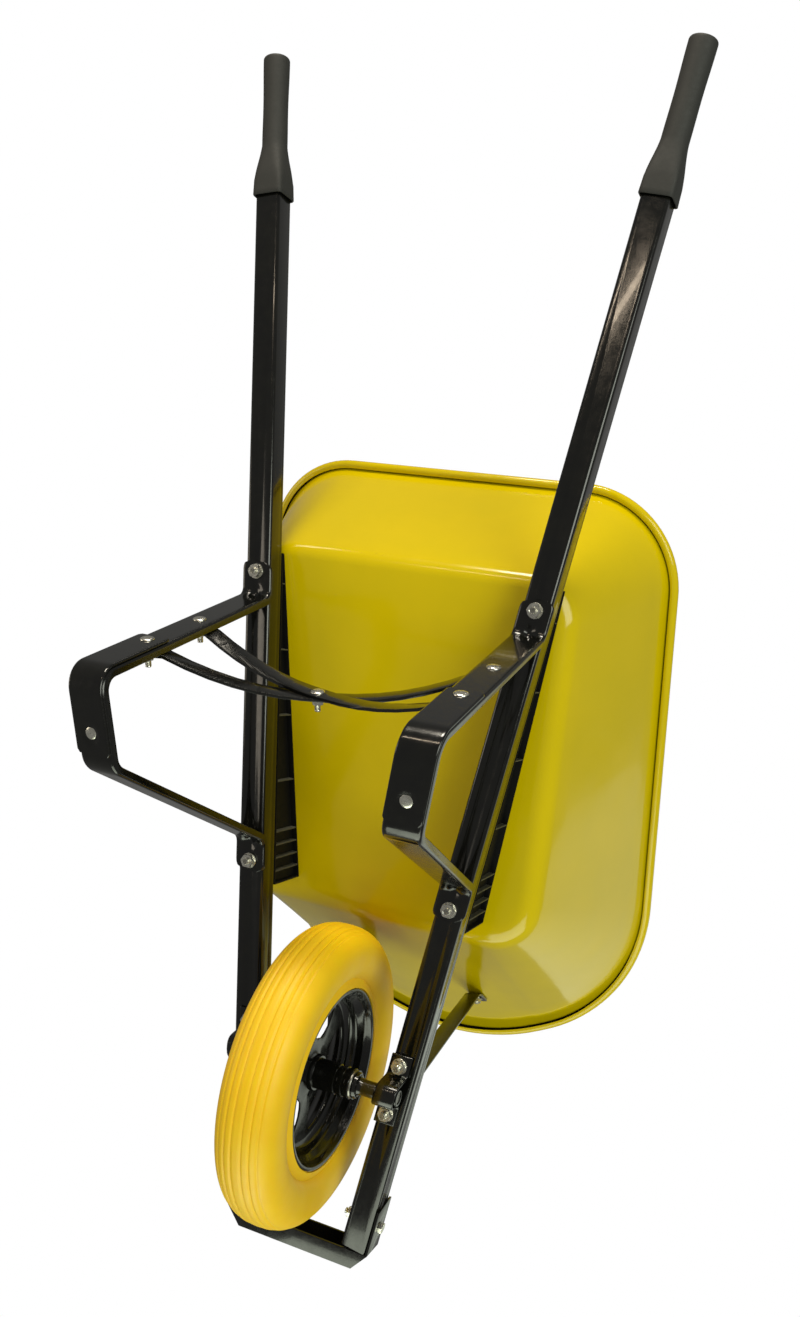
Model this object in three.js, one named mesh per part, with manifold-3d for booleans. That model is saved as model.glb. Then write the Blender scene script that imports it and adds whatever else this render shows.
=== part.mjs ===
// Contractor wheelbarrow: pressed steel tray on two square tube handles, with channel legs,
// crossed leg braces and a foam-filled wheel on a fixed axle. Millimetres, +Z up, nose towards -Y,
// grips towards +Y, the operator's left at +X.
import * as THREE from "three";
import { mergeVertices } from "three/addons/utils/BufferGeometryUtils.js";
import Module from "manifold-3d";

const wasm = await Module();
wasm.setup();

// ---------------------------------------------------------------- driving dimensions
const GAP = 0.3; // clearance between pieces that seat on each other
const HOLE = 0.5; // radial clearance of a bolt hole
const BOLT_SIDES = 8;

// handles, measured along the barrow from the axle station
const TUBE = 38;
const TUBE_WALL = 2.5;
const TUBE_CORNER = 5;
const HANDLE_SPLAY = 0.13335; // sideways run per unit length
const HANDLE_HALF_AT_AXLE = 117.4;
const HANDLE_FRONT = -233.7;
const GRIP_TIP = 1389;
const GRIP_LENGTH = 201;
const GRIP_DIAMETER = 35.5;
const GRIP_SOCKET = 32; // length of tube inside the grip
const GRIP_SKIRT = 46; // outside width of the square skirt
const GRIP_FLARE_START = 26; // straight part of the skirt
const GRIP_FLARE_END = 66; // where the round part begins

// wheel and axle
const WHEEL_RADIUS = 200;
const TYRE_WIDTH = 88;
const RIM_RADIUS = 120;
const RIM_WIDTH = 72;
const RIM_WALL = 2.5;
const RIM_WELL = 14; // depth of the drop centre below the bead seat
const WINDOW_COUNT = 5;
const HUB_RADIUS = 20;
const HUB_WALL = 3.5;
const HUB_LENGTH = 124;
const BEARING_LENGTH = 14;
const BEARING_FLANGE = 3;
const AXLE_RADIUS = 7.75;
const AXLE_DROP = 43; // below the handle centre line
const SLEEVE_RADIUS = 10.75;
const SLEEVE_MOUTH = 19; // radius of the flared end
const SLEEVE_GAP = 1.6; // between the flare and the bearing flange
const BRACKET_WIDTH = 30;
const BRACKET_THICKNESS = 3.5;
const BRACKET_SHIFT = 6; // towards the wheel from the handle centre line
const BRACKET_BOLT = 33.5; // from the axle station
const BRACKET_TAB = 15; // beyond the bolt

// legs
const LEG_STEEL = 3;
const LEG_CLEARANCE = 0.9; // each side, between the channel and the tube
const LEG_LIP = 11; // outside depth of the channel
const LEG_TILT = 0.061; // outward run per unit depth
const REAR_BOLT = 658.7;
const FRONT_BOLT = 254.4;
const TAB_END = 14;
const REAR_KNEE = 626;
const FRONT_KNEE = 284;
const FOOT_REAR = 514;
const FOOT_FRONT = 400;
const FOOT_REFERENCE = 442.6; // station of the shoe bolt
const FOOT_DROP = 363; // shoe underside below the handle centre line at that station
const KNEE_RADIUS = 12;
const FOOT_RADIUS = 28;
const SHOE_STEEL = 4;
const SHOE_FRONT = 419;
const SHOE_TAB = 16; // beyond the lower brace bolt
const UPPER_BRACE_BOLT = 584;
const LOWER_BRACE_BOLT = 550;
const BRACE_WIDTH = 25;
const BRACE_STEEL = 4;
const BRACE_BOW = 41;
const BRACE_TIP = 11; // beyond each end bolt
const BRACE_SEAT = 16; // half length of the flat where the braces cross
const BRACE_STEPS = 6; // straight runs on each side of the bow
const BRACE_CROSS_GAP = 0.6;
const BRACE_BEND = 6; // radius between its straight runs
const BRACE_HEAD = 2.6; // height of the domed heads
const BRACE_BOLT_SPARE = 9; // thread showing past each nut

// nose guard
const NOSE_DEPTH = 24;
const NOSE_STEEL = 3;
const NOSE_CHAMFER = 21;
const WING_BOLT = -196;
const WING_END_LOW = -177;
const WING_END_HIGH = -163;

// tray: floor and rim planes, each a height at the reference station and a slope
const TRAY_STEEL = 2;
const TRAY_REFERENCE = 448;
const BEAD_RADIUS = 7;
const FLOOR = {
  halfRear: 242, halfFront: 236, rear: 702, front: 186, bow: 0, apex: 0, frontFlat: 118,
  cornerRear: 62, cornerFront: 70, height: 61, slope: -0.152,
};
const RIM = {
  halfRear: 336.5, halfFront: 347, rear: 861, front: 30.5, bow: 180, apex: 3000,
  cornerRear: 149, cornerFront: 305, height: 354, slope: -0.346,
};
const CREASE_REAR = 16;
const CREASE_SIDE = 25;

// risers and tray braces
const RISER_FRONT = 217.5;
const RISER_REAR = 690;
const STAY_WIDTH = 26;
const STAY_STEEL = 4;
const STAY_FOOT = -16; // station where the stay rises from the handle
const STAY_TOP_OFFSET = 94; // half spacing of the stays at the tray
const STAY_LEVEL = 0.64; // share of the wall height that the top tab sits at
const STAY_TAB = 34;
const STAY_STEPS = 5; // sections along the upright, which turns a little to meet the wall

// fasteners
const M10 = { shank: 4.6, across: 17, head: 6, nut: 8, dome: 10 };
const M8 = { shank: 3.9, across: 13, head: 5, nut: 6.5, dome: 9 };
const SHOE_HEAD = 8.5;

// ---------------------------------------------------------------- finishes
const finish = (name, color, roughness, metalness) =>
  new THREE.MeshStandardMaterial({ name, color, roughness, metalness, flatShading: true });
const enamel = () => finish("yellow_enamel", 0xd2b800, 0.25, 0);
const blackEnamel = () => finish("black_enamel", 0x14140f, 0.25, 0);
const gripPlastic = () => finish("grip_plastic", 0x3c3c38, 0.75, 0);
const blackPlastic = () => finish("riser_plastic", 0x10100f, 0.5, 0);
const foam = () => finish("tyre_foam", 0xe9bd10, 0.55, 0);
const zinc = () => finish("zinc_plate", 0xb9b7ab, 0.35, 0.9);
const bearingSteel = () => finish("bearing_steel", 0x8d8d88, 0.4, 0.9);

// ---------------------------------------------------------------- solids
function solidOf(geometry) {
  const bare = geometry.clone();
  bare.deleteAttribute("normal");
  bare.deleteAttribute("uv");
  const merged = mergeVertices(bare, 1e-3);
  return new wasm.Manifold(new wasm.Mesh({
    numProp: 3,
    vertProperties: merged.attributes.position.array,
    triVerts: Uint32Array.from(merged.index.array),
  }));
}

function geometryOf(solid) {
  const mesh = solid.getMesh();
  const geometry = new THREE.BufferGeometry();
  geometry.setAttribute("position", new THREE.BufferAttribute(mesh.vertProperties, 3));
  geometry.setIndex(new THREE.BufferAttribute(mesh.triVerts, 1));
  return geometry;
}

function join(...geometries) {
  return geometryOf(geometries.map(solidOf).reduce((sum, part) => sum.add(part)));
}

function cut(geometry, ...cutters) {
  return geometryOf(cutters.reduce((rest, cutter) => rest.subtract(solidOf(cutter)), solidOf(geometry)));
}

/** A round bar centred on a point, with its axis along a direction. */
function bar(centre, direction, radius, length, sides = 16) {
  const geometry = new THREE.CylinderGeometry(radius, radius, length, sides);
  const turn = new THREE.Quaternion().setFromUnitVectors(
    new THREE.Vector3(0, 1, 0), direction.clone().normalize());
  return geometry.applyQuaternion(turn).translate(centre.x, centre.y, centre.z);
}

/** A skin through rings of equal count, closed at both ends by a fan. */
function loft(rings) {
  const count = rings[0].length;
  const positions = rings.flat().flatMap((p) => [p.x, p.y, p.z]);
  const index = [];
  for (let r = 0; r + 1 < rings.length; r++) {
    for (let i = 0; i < count; i++) {
      const j = (i + 1) % count;
      const [a, b, c, d] = [r * count + i, r * count + j, (r + 1) * count + j, (r + 1) * count + i];
      index.push(a, b, c, a, c, d);
    }
  }
  [0, rings.length - 1].forEach((r) => {
    const middle = rings[r].reduce((sum, p) => sum.add(p), new THREE.Vector3()).divideScalar(count);
    const centre = positions.push(middle.x, middle.y, middle.z) / 3 - 1;
    for (let i = 0; i < count; i++) {
      const [a, b] = [r * count + i, r * count + ((i + 1) % count)];
      index.push(centre, r ? a : b, r ? b : a);
    }
  });
  const geometry = new THREE.BufferGeometry();
  geometry.setAttribute("position", new THREE.Float32BufferAttribute(positions, 3));
  geometry.setIndex(index);
  return geometry;
}

/** Points with left-hand normals along a polyline whose inner corners are rounded. */
function bentPath(corners, steps = 4) {
  const path = [];
  corners.forEach((corner, i) => {
    const here = new THREE.Vector2(...corner.at);
    const before = i ? new THREE.Vector2(...corners[i - 1].at) : null;
    const after = i + 1 < corners.length ? new THREE.Vector2(...corners[i + 1].at) : null;
    const into = before && here.clone().sub(before).normalize();
    const out = after && after.clone().sub(here).normalize();
    const left = (d) => new THREE.Vector2(-d.y, d.x);
    if (!into || !out) {
      path.push({ point: here, normal: left(into ?? out) });
      return;
    }
    const turn = Math.atan2(into.cross(out), into.dot(out));
    const reach = corner.radius * Math.tan(Math.abs(turn) / 2);
    const start = here.clone().addScaledVector(into, -reach);
    const centre = start.clone().addScaledVector(left(into), Math.sign(turn) * corner.radius);
    for (let k = 0; k <= steps; k++) {
      const normal = left(into).rotateAround(new THREE.Vector2(), (turn * k) / steps);
      path.push({
        point: centre.clone().addScaledVector(normal, -Math.sign(turn) * corner.radius),
        normal,
      });
    }
  });
  return path;
}

/** The outline between two offsets from a path. */
function bandShape(path, low, high) {
  const side = (offset) => path.map((s) => s.point.clone().addScaledVector(s.normal, offset));
  return new THREE.Shape([...side(low), ...side(high).reverse()]);
}

/** Extrudes an outline drawn in (station, height) sideways, centred on x = 0. */
function plate(shape, width, centre = 0) {
  const geometry = new THREE.ExtrudeGeometry(shape, {
    depth: width, bevelEnabled: false, curveSegments: 4,
  });
  const turn = new THREE.Matrix4().makeBasis(
    new THREE.Vector3(0, 1, 0), new THREE.Vector3(0, 0, 1), new THREE.Vector3(1, 0, 0));
  return geometry.applyMatrix4(turn).translate(centre - width / 2, 0, 0);
}

/** A lathe turned about the X axis from a profile of (x, radius) pairs, anticlockwise. */
function turned(profile, segments) {
  const loop = [...profile, profile[0]].reverse().map(([x, r]) => new THREE.Vector2(r, x));
  return new THREE.LatheGeometry(loop, segments).rotateZ(-Math.PI / 2);
}

// ---------------------------------------------------------------- shared places
const SIDES = [{ name: "left", sign: 1 }, { name: "right", sign: -1 }];
const UP = new THREE.Vector3(0, 0, 1);
const ACROSS = new THREE.Vector3(1, 0, 0);
const handleAt = (y) => HANDLE_HALF_AT_AXLE + HANDLE_SPLAY * y;
const splayAngle = Math.atan(HANDLE_SPLAY);
const alongHandle = (y) => y / Math.cos(splayAngle);
const tubeFace = TUBE / 2 + GAP;

const fromAxle = FOOT_DROP - AXLE_DROP;
const pitch = Math.atan2(fromAxle, FOOT_REFERENCE)
  - Math.asin(WHEEL_RADIUS / Math.hypot(fromAxle, FOOT_REFERENCE));
const groundAt = (y) => -FOOT_DROP - Math.tan(pitch) * (y - FOOT_REFERENCE);
const floorAt = (y) => FLOOR.height + FLOOR.slope * (y - TRAY_REFERENCE);

const barrow = new THREE.Group();
const chassis = new THREE.Group();
chassis.rotation.x = pitch;
barrow.add(chassis);

function add(parent, name, geometry, material) {
  const mesh = new THREE.Mesh(geometry, material);
  mesh.name = name;
  parent.add(mesh);
  return mesh;
}

// ---------------------------------------------------------------- fasteners
/** A hexagonal prism on +Z from z = low upwards. */
function hexagon(across, height, low) {
  const geometry = new THREE.CylinderGeometry(across / Math.sqrt(3), across / Math.sqrt(3), height, 6);
  return geometry.rotateX(Math.PI / 2).translate(0, 0, low + height / 2);
}

/** A bolt whose head seats at z = 0 with its shank along -Z; a joined nut is optional. */
function boltGeometry(size, length, head, nutAt) {
  const shank = bar(new THREE.Vector3(0, 0, 1 - length / 2 - 0.5), UP, size.shank, length + 1, BOLT_SIDES);
  const cap = head === "hex"
    ? hexagon(size.across, size.head, 0)
    : bar(new THREE.Vector3(0, 0, head.height / 2), UP, head.radius, head.height, 12);
  const parts = [shank, cap];
  if (nutAt !== undefined) parts.push(hexagon(size.across, size.nut, -nutAt - size.nut));
  return join(...parts);
}

function nutGeometry(size) {
  return cut(hexagon(size.across, size.nut, -size.nut),
    bar(new THREE.Vector3(0, 0, -size.nut / 2), UP, size.shank + GAP, size.nut + 2, BOLT_SIDES));
}

function place(mesh, point, outward) {
  mesh.position.copy(point);
  mesh.quaternion.setFromUnitVectors(UP, outward.clone().normalize());
}

// ---------------------------------------------------------------- tray
/** Points round an outline with a bowed or flat front, anticlockwise from above, rear left first. */
function outline(plan, inset, steps = 7) {
  const corners = [
    [plan.halfRear - inset, plan.rear - inset, plan.cornerRear - inset],
    [-(plan.halfRear - inset), plan.rear - inset, plan.cornerRear - inset],
    [-(plan.halfFront - inset), plan.front + inset, plan.cornerFront - inset],
    [0, plan.front - plan.bow + inset, plan.apex],
    [plan.halfFront - inset, plan.front + inset, plan.cornerFront - inset],
  ].map(([x, y, radius]) => ({ at: new THREE.Vector2(x, y), radius }));
  const points = [];
  corners.forEach(({ at, radius }, i) => {
    if (!radius) {
      const spread = (k) => plan.frontFlat * ((2 * k) / steps - 1);
      for (let k = 0; k <= steps; k++) points.push(new THREE.Vector2(spread(k), at.y));
      return;
    }
    const into = at.clone().sub(corners.at(i - 1).at);
    const out = corners[(i + 1) % corners.length].at.clone().sub(at);
    const longest = Math.min(into.length(), out.length()) * 0.49;
    into.normalize();
    out.normalize();
    const turn = Math.acos(THREE.MathUtils.clamp(into.dot(out), -1, 1));
    const reach = Math.min(radius * Math.tan(turn / 2), longest);
    const round = reach / Math.tan(turn / 2);
    const normal = new THREE.Vector2(-into.y, into.x);
    const centre = at.clone().addScaledVector(into, -reach).addScaledVector(normal, round);
    for (let k = 0; k <= steps; k++) {
      const spoke = normal.clone().negate().rotateAround(new THREE.Vector2(), (turn * k) / steps);
      points.push(centre.clone().addScaledVector(spoke, round));
    }
  });
  return points.map((p) => new THREE.Vector3(p.x, p.y, plan.height + plan.slope * (p.y - TRAY_REFERENCE)));
}

const trayFloor = outline(FLOOR, 0);
const trayTop = outline(RIM, 2 * BEAD_RADIUS);
const rimNormal = new THREE.Vector3(0, -RIM.slope, 1).normalize();
const planNormals = trayTop.map((p, i) => {
  const tangent = trayTop[(i + 1) % trayTop.length].clone().sub(trayTop.at(i - 1));
  return tangent.cross(rimNormal).normalize();
});

function trayGeometry() {
  const wall = trayTop.map((p, i) => p.clone().sub(trayFloor[i]).normalize());
  const inward = trayFloor.map((p, i) => {
    const n = planNormals[i].clone().setZ(0).normalize().negate();
    return new THREE.Vector3(n.x, n.y, FLOOR.slope * n.y);
  });
  const crease = planNormals.map((n) => THREE.MathUtils.lerp(
    CREASE_SIDE, CREASE_REAR, THREE.MathUtils.smoothstep(n.y, 0.5, 0.95)));
  const ringOf = (make) => trayTop.map((_, i) => make(i));
  const curve = (t, lift) => ringOf((i) => {
    const a = trayFloor[i].clone().addScaledVector(inward[i], crease[i]);
    const b = trayFloor[i].clone().addScaledVector(wall[i], crease[i]);
    const point = a.multiplyScalar((1 - t) ** 2)
      .addScaledVector(trayFloor[i], 2 * t * (1 - t)).addScaledVector(b, t * t);
    const lean = inward[i].clone().setZ(0).multiplyScalar(lift * t);
    return point.add(lean).addScaledVector(UP, lift * (1 - t));
  });
  const bead = (angle) => ringOf((i) => trayTop[i].clone()
    .addScaledVector(planNormals[i], BEAD_RADIUS * (1 + Math.cos(angle)))
    .addScaledVector(rimNormal, BEAD_RADIUS * (Math.sin(angle) - 1)));
  const belowBead = (inside) => ringOf((i) => trayTop[i].clone()
    .addScaledVector(wall[i], -2.4 * BEAD_RADIUS)
    .addScaledVector(planNormals[i], -inside));
  const between = (level, inside) => ringOf((i) => trayFloor[i].clone().lerp(trayTop[i], level)
    .addScaledVector(planNormals[i], -inside));
  const turns = [0, 0.35, 0.7, 1];
  const levels = [0.3, 0.5, STAY_LEVEL, 0.8];
  const rings = [
    ...turns.map((t) => curve(t, 0)),
    ...levels.map((level) => between(level, 0)),
    belowBead(0),
    ...[-135, -90, -45, 0, 45, 90].map((a) => bead(THREE.MathUtils.degToRad(a))),
    ringOf((i) => trayTop[i].clone().addScaledVector(planNormals[i], -TRAY_STEEL)),
    belowBead(TRAY_STEEL),
    ...levels.toReversed().map((level) => between(level, TRAY_STEEL)),
    ...turns.toReversed().map((t) => curve(t, TRAY_STEEL)),
  ];
  const floorHole = (sign, y) => bar(
    new THREE.Vector3(sign * handleAt(y), y, floorAt(y)), UP, M10.shank + HOLE, 20, BOLT_SIDES);
  const wallHoles = SIDES.map(({ sign }) => {
    const seat = wallSeat(sign);
    return bar(seat.point, seat.normal, M8.shank + HOLE, 20, BOLT_SIDES);
  });
  const holes = SIDES.flatMap(({ sign }) => [floorHole(sign, REAR_BOLT), floorHole(sign, FRONT_BOLT)]);
  return cut(loft(rings), ...holes, ...wallHoles);
}

/** Where a stay's top tab meets the front wall: the point, its outward normal and level direction. */
function wallSeat(sign) {
  const level = trayTop.map((p, i) => trayFloor[i].clone().lerp(p, STAY_LEVEL));
  const x = sign * STAY_TOP_OFFSET;
  for (let i = 0; i < level.length; i++) {
    const j = (i + 1) % level.length;
    const [a, b] = [level[i], level[j]];
    if (a.y > TRAY_REFERENCE || (a.x - x) * (b.x - x) > 0) continue;
    const share = (x - a.x) / (b.x - a.x);
    const point = a.clone().lerp(b, share);
    const along = b.clone().sub(a).normalize();
    const rise = trayTop[i].clone().lerp(trayTop[j], share)
      .sub(trayFloor[i].clone().lerp(trayFloor[j], share)).normalize();
    return { point, along, rise, normal: along.clone().cross(rise).normalize() };
  }
  throw new Error("the stay misses the front wall");
}

function buildTray() {
  add(chassis, "tray", trayGeometry(), enamel());
}

// ---------------------------------------------------------------- handles, grips, risers
/** A rounded square outline, drawn as a superellipse from circle (2) to nearly square. */
function squircle(half, power, y, count = 32) {
  const ring = [];
  for (let i = 0; i < count; i++) {
    const a = (2 * Math.PI * (i + 0.5)) / count;
    const [c, s] = [Math.cos(a), Math.sin(a)];
    const r = half / (Math.abs(c) ** power + Math.abs(s) ** power) ** (1 / power);
    ring.push(new THREE.Vector3(-r * c, y, r * s));
  }
  return ring;
}

function roundedSquare(width, corner) {
  const h = width / 2;
  const shape = new THREE.Shape();
  shape.moveTo(h, h - corner).absarc(h - corner, h - corner, corner, 0, Math.PI / 2);
  shape.absarc(corner - h, h - corner, corner, Math.PI / 2, Math.PI);
  shape.absarc(corner - h, corner - h, corner, Math.PI, 1.5 * Math.PI);
  shape.absarc(h - corner, corner - h, corner, 1.5 * Math.PI, 2 * Math.PI);
  return shape;
}

function handleGeometry(sign) {
  const front = (HANDLE_FRONT + GAP + (TUBE / 2) * Math.sin(splayAngle)) / Math.cos(splayAngle);
  const rear = alongHandle(GRIP_TIP) - GRIP_LENGTH + GRIP_SOCKET;
  const shape = roundedSquare(TUBE, TUBE_CORNER);
  const bore = roundedSquare(TUBE - 2 * TUBE_WALL, TUBE_CORNER - TUBE_WALL);
  shape.holes.push(bore);
  const tube = new THREE.ExtrudeGeometry(shape, {
    depth: rear - front, bevelEnabled: false, curveSegments: 3,
  }).rotateX(Math.PI / 2).translate(0, rear, 0);
  const legBolts = [REAR_BOLT, FRONT_BOLT].map((y) => new THREE.Vector3(sign * handleAt(y), y, 0));
  const bracketBolts = [BRACKET_BOLT, -BRACKET_BOLT].map((y) => bracketBolt(sign, y));
  const drops = [...legBolts, ...bracketBolts].map((point) =>
    bar(toHandle(sign, point), UP, M10.shank + HOLE, TUBE + 2, BOLT_SIDES));
  const wingAt = new THREE.Vector3(0, alongHandle(WING_BOLT), 0);
  const wing = bar(wingAt, ACROSS, M8.shank + HOLE, TUBE + 2, BOLT_SIDES);
  return cut(tube, ...drops, wing);
}

/** Carries a chassis point into a handle's own frame. */
function toHandle(sign, point) {
  return point.clone().setX(point.x - sign * HANDLE_HALF_AT_AXLE).applyAxisAngle(UP, sign * splayAngle);
}

function gripGeometry() {
  const half = GRIP_DIAMETER / 2;
  const skirt = GRIP_SKIRT / 2;
  const outer = loft([
    squircle(skirt, 9, 0), squircle(skirt - 1, 8, GRIP_FLARE_START),
    squircle(THREE.MathUtils.lerp(skirt, half, 0.55), 3.4, (GRIP_FLARE_START + GRIP_FLARE_END) / 2),
    squircle(half + 0.6, 2.1, GRIP_FLARE_END), squircle(half, 2, GRIP_LENGTH - 40),
    squircle(half + 1.4, 2, GRIP_LENGTH - 8), squircle(half - 0.6, 2, GRIP_LENGTH),
  ]);
  const socket = TUBE / 2 + GAP;
  const pocket = loft([squircle(socket, 18, -5, 32), squircle(socket, 18, GRIP_SOCKET + GAP, 32)]);
  return cut(outer, pocket);
}

function riserGeometry(sign) {
  const low = tubeFace;
  const shape = new THREE.Shape([[RISER_FRONT, low], [RISER_REAR, low],
    [RISER_REAR, floorAt(RISER_REAR) - GAP], [RISER_FRONT, floorAt(RISER_FRONT) - GAP],
  ].map(([y, z]) => new THREE.Vector2(y, z)));
  const wedge = followHandle(plate(shape, TUBE / Math.cos(splayAngle)), sign);
  const holes = [REAR_BOLT, FRONT_BOLT].map((y) => bar(
    new THREE.Vector3(sign * handleAt(y), y, floorAt(y)), UP, M10.shank + HOLE, 200, BOLT_SIDES));
  return cut(wedge, ...holes);
}

/** Carries a piece built about x = 0 out to a handle, sheared to run along it and lean by depth. */
function followHandle(geometry, sign, lean = 0) {
  const depth = new THREE.Matrix4().set(
    1, sign * HANDLE_SPLAY, -sign * lean, sign * (HANDLE_HALF_AT_AXLE - lean * TUBE / 2),
    0, 1, 0, 0,
    0, 0, 1, 0,
    0, 0, 0, 1);
  return geometry.applyMatrix4(depth);
}

function buildHandles() {
  for (const { name, sign } of SIDES) {
    const group = new THREE.Group();
    group.position.x = sign * HANDLE_HALF_AT_AXLE;
    group.rotation.z = -sign * splayAngle;
    chassis.add(group);
    add(group, `handle_${name}`, handleGeometry(sign), blackEnamel());
    const grip = add(group, `grip_${name}`, gripGeometry(), gripPlastic());
    grip.position.y = alongHandle(GRIP_TIP) - GRIP_LENGTH;
    add(chassis, `riser_${name}`, riserGeometry(sign), blackPlastic());
  }
}

// ---------------------------------------------------------------- legs, shoes, cross braces
const legWidth = (TUBE + 2 * LEG_CLEARANCE) / Math.cos(splayAngle) + 2 * LEG_STEEL;
const tabZ = -(tubeFace + LEG_STEEL);
const footZ = (y) => groundAt(y) + (SHOE_STEEL + GAP) / Math.cos(pitch);
const kneeRear = [REAR_KNEE, tabZ];
const footRear = [FOOT_REAR, footZ(FOOT_REAR)];
const rearLine = new THREE.Vector2(footRear[0] - kneeRear[0], footRear[1] - kneeRear[1]).normalize();
const rearOut = new THREE.Vector2(-rearLine.y, rearLine.x); // outward normal of the rear web
const rearWebAt = (y) => new THREE.Vector2(...kneeRear)
  .addScaledVector(rearLine, (y - kneeRear[0]) / rearLine.x);
const legX = (y, z) => handleAt(y) - LEG_TILT * (z + TUBE / 2);

function legPath() {
  return bentPath([
    { at: [REAR_BOLT + TAB_END, tabZ] }, { at: kneeRear, radius: KNEE_RADIUS },
    { at: footRear, radius: FOOT_RADIUS }, { at: [FOOT_FRONT, footZ(FOOT_FRONT)], radius: FOOT_RADIUS },
    { at: [FRONT_KNEE, tabZ], radius: KNEE_RADIUS }, { at: [FRONT_BOLT - TAB_END, tabZ] },
  ]);
}

/** A point on the sheared leg, from its station and height. */
const legPoint = (sign, at) => new THREE.Vector3(sign * legX(at.x, at.y), at.x, at.y);
const sideways = (v) => new THREE.Vector3(0, v.x, v.y);
const footOut = new THREE.Vector2(-Math.sin(pitch), -Math.cos(pitch));

function legHoles(sign, radius) {
  const web = [UPPER_BRACE_BOLT, LOWER_BRACE_BOLT].map((y) =>
    bar(legPoint(sign, rearWebAt(y)), sideways(rearOut), radius, 50, BOLT_SIDES));
  const foot = new THREE.Vector2(FOOT_REFERENCE, groundAt(FOOT_REFERENCE));
  return [...web, bar(legPoint(sign, foot), sideways(footOut), radius, 50, BOLT_SIDES)];
}

function legGeometry(sign) {
  const path = legPath();
  const edge = (legWidth - LEG_STEEL) / 2;
  const channel = join(
    plate(bandShape(path, -LEG_STEEL, 0), legWidth),
    plate(bandShape(path, -LEG_LIP, 0), LEG_STEEL, edge),
    plate(bandShape(path, -LEG_LIP, 0), LEG_STEEL, -edge));
  const tabs = [REAR_BOLT, FRONT_BOLT].map((y) =>
    bar(new THREE.Vector3(sign * handleAt(y), y, tabZ), UP, M10.shank + HOLE, 20, BOLT_SIDES));
  return cut(followHandle(channel, sign, LEG_TILT), ...tabs, ...legHoles(sign, M8.shank + HOLE));
}

function shoeGeometry(sign) {
  const tabTop = rearWebAt(LOWER_BRACE_BOLT).addScaledVector(rearLine, -SHOE_TAB);
  const path = bentPath([
    { at: [tabTop.x, tabTop.y] }, { at: footRear, radius: FOOT_RADIUS },
    { at: [SHOE_FRONT, footZ(SHOE_FRONT)] },
  ]);
  const strap = followHandle(plate(bandShape(path, GAP, GAP + SHOE_STEEL), legWidth), sign, LEG_TILT);
  const foot = new THREE.Vector2(FOOT_REFERENCE, groundAt(FOOT_REFERENCE));
  const recess = bar(legPoint(sign, foot), sideways(footOut), SHOE_HEAD + 1, 2 * SHOE_STEEL - 2.6, 16);
  const web = rearWebAt(LOWER_BRACE_BOLT);
  return cut(strap, recess,
    bar(legPoint(sign, web), sideways(rearOut), M8.shank + HOLE, 50, BOLT_SIDES),
    bar(legPoint(sign, foot), sideways(footOut), M8.shank + HOLE, 50, BOLT_SIDES));
}

const braceSeat = LEG_LIP + GAP; // the flat ends rest on the channel's lips
const outAxis = sideways(rearOut);
function braceEnd(sign, y) {
  return legPoint(sign, rearWebAt(y)).addScaledVector(outAxis, -braceSeat);
}

/** A bowed strap from one leg to the other, with flat ends and a bolt hole at its middle. */
function braceGeometry(span, bow, middle) {
  const half = span / 2;
  const sweep = half - legWidth / 2 - BRACE_SEAT; // from the crossing flat to the inner lip
  const arm = Array.from({ length: BRACE_STEPS + 1 }, (_, k) => {
    const share = k / BRACE_STEPS;
    return [BRACE_SEAT + sweep * share, bow * (1 - share ** 2)];
  });
  const right = [...arm, [half + BRACE_TIP, 0]];
  const left = right.map(([u, n]) => [-u, n]).reverse();
  const centre = [...left, ...right].map((at) => ({ at, radius: BRACE_BEND }));
  const shape = bandShape(bentPath(centre, 1), 0, BRACE_STEEL);
  const strap = new THREE.ExtrudeGeometry(shape, { depth: BRACE_WIDTH, bevelEnabled: false })
    .translate(0, 0, -BRACE_WIDTH / 2);
  const axis = new THREE.Vector3(0, 1, 0);
  const holes = [[-half, 0], [middle, bow], [half, 0]].map(([u, n]) =>
    bar(new THREE.Vector3(u, n, 0), axis, M8.shank + HOLE, 40, BOLT_SIDES));
  return cut(strap, ...holes);
}

function buildLegs() {
  for (const { name, sign } of SIDES) {
    add(chassis, `leg_${name}`, legGeometry(sign), blackEnamel());
    add(chassis, `leg_shoe_${name}`, shoeGeometry(sign), blackEnamel());
  }
  const stations = [[UPPER_BRACE_BOLT, LOWER_BRACE_BOLT], [LOWER_BRACE_BOLT, UPPER_BRACE_BOLT]];
  stations.forEach(([leftY, rightY], i) => {
    const [a, b] = [braceEnd(1, leftY), braceEnd(-1, rightY)];
    const bow = BRACE_BOW - (i ? 0 : BRACE_STEEL + BRACE_CROSS_GAP);
    const along = a.clone().sub(b).normalize();
    const middle = -(a.x + b.x) / 2 / along.x;
    const brace = add(chassis, i ? "cross_brace_lower" : "cross_brace_upper",
      braceGeometry(a.distanceTo(b), bow, middle), blackEnamel());
    const inward = outAxis.clone().negate();
    const basis = new THREE.Matrix4().makeBasis(along, inward, along.clone().cross(inward));
    brace.position.copy(a).lerp(b, 0.5);
    brace.quaternion.setFromRotationMatrix(basis);
  });
}

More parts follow.
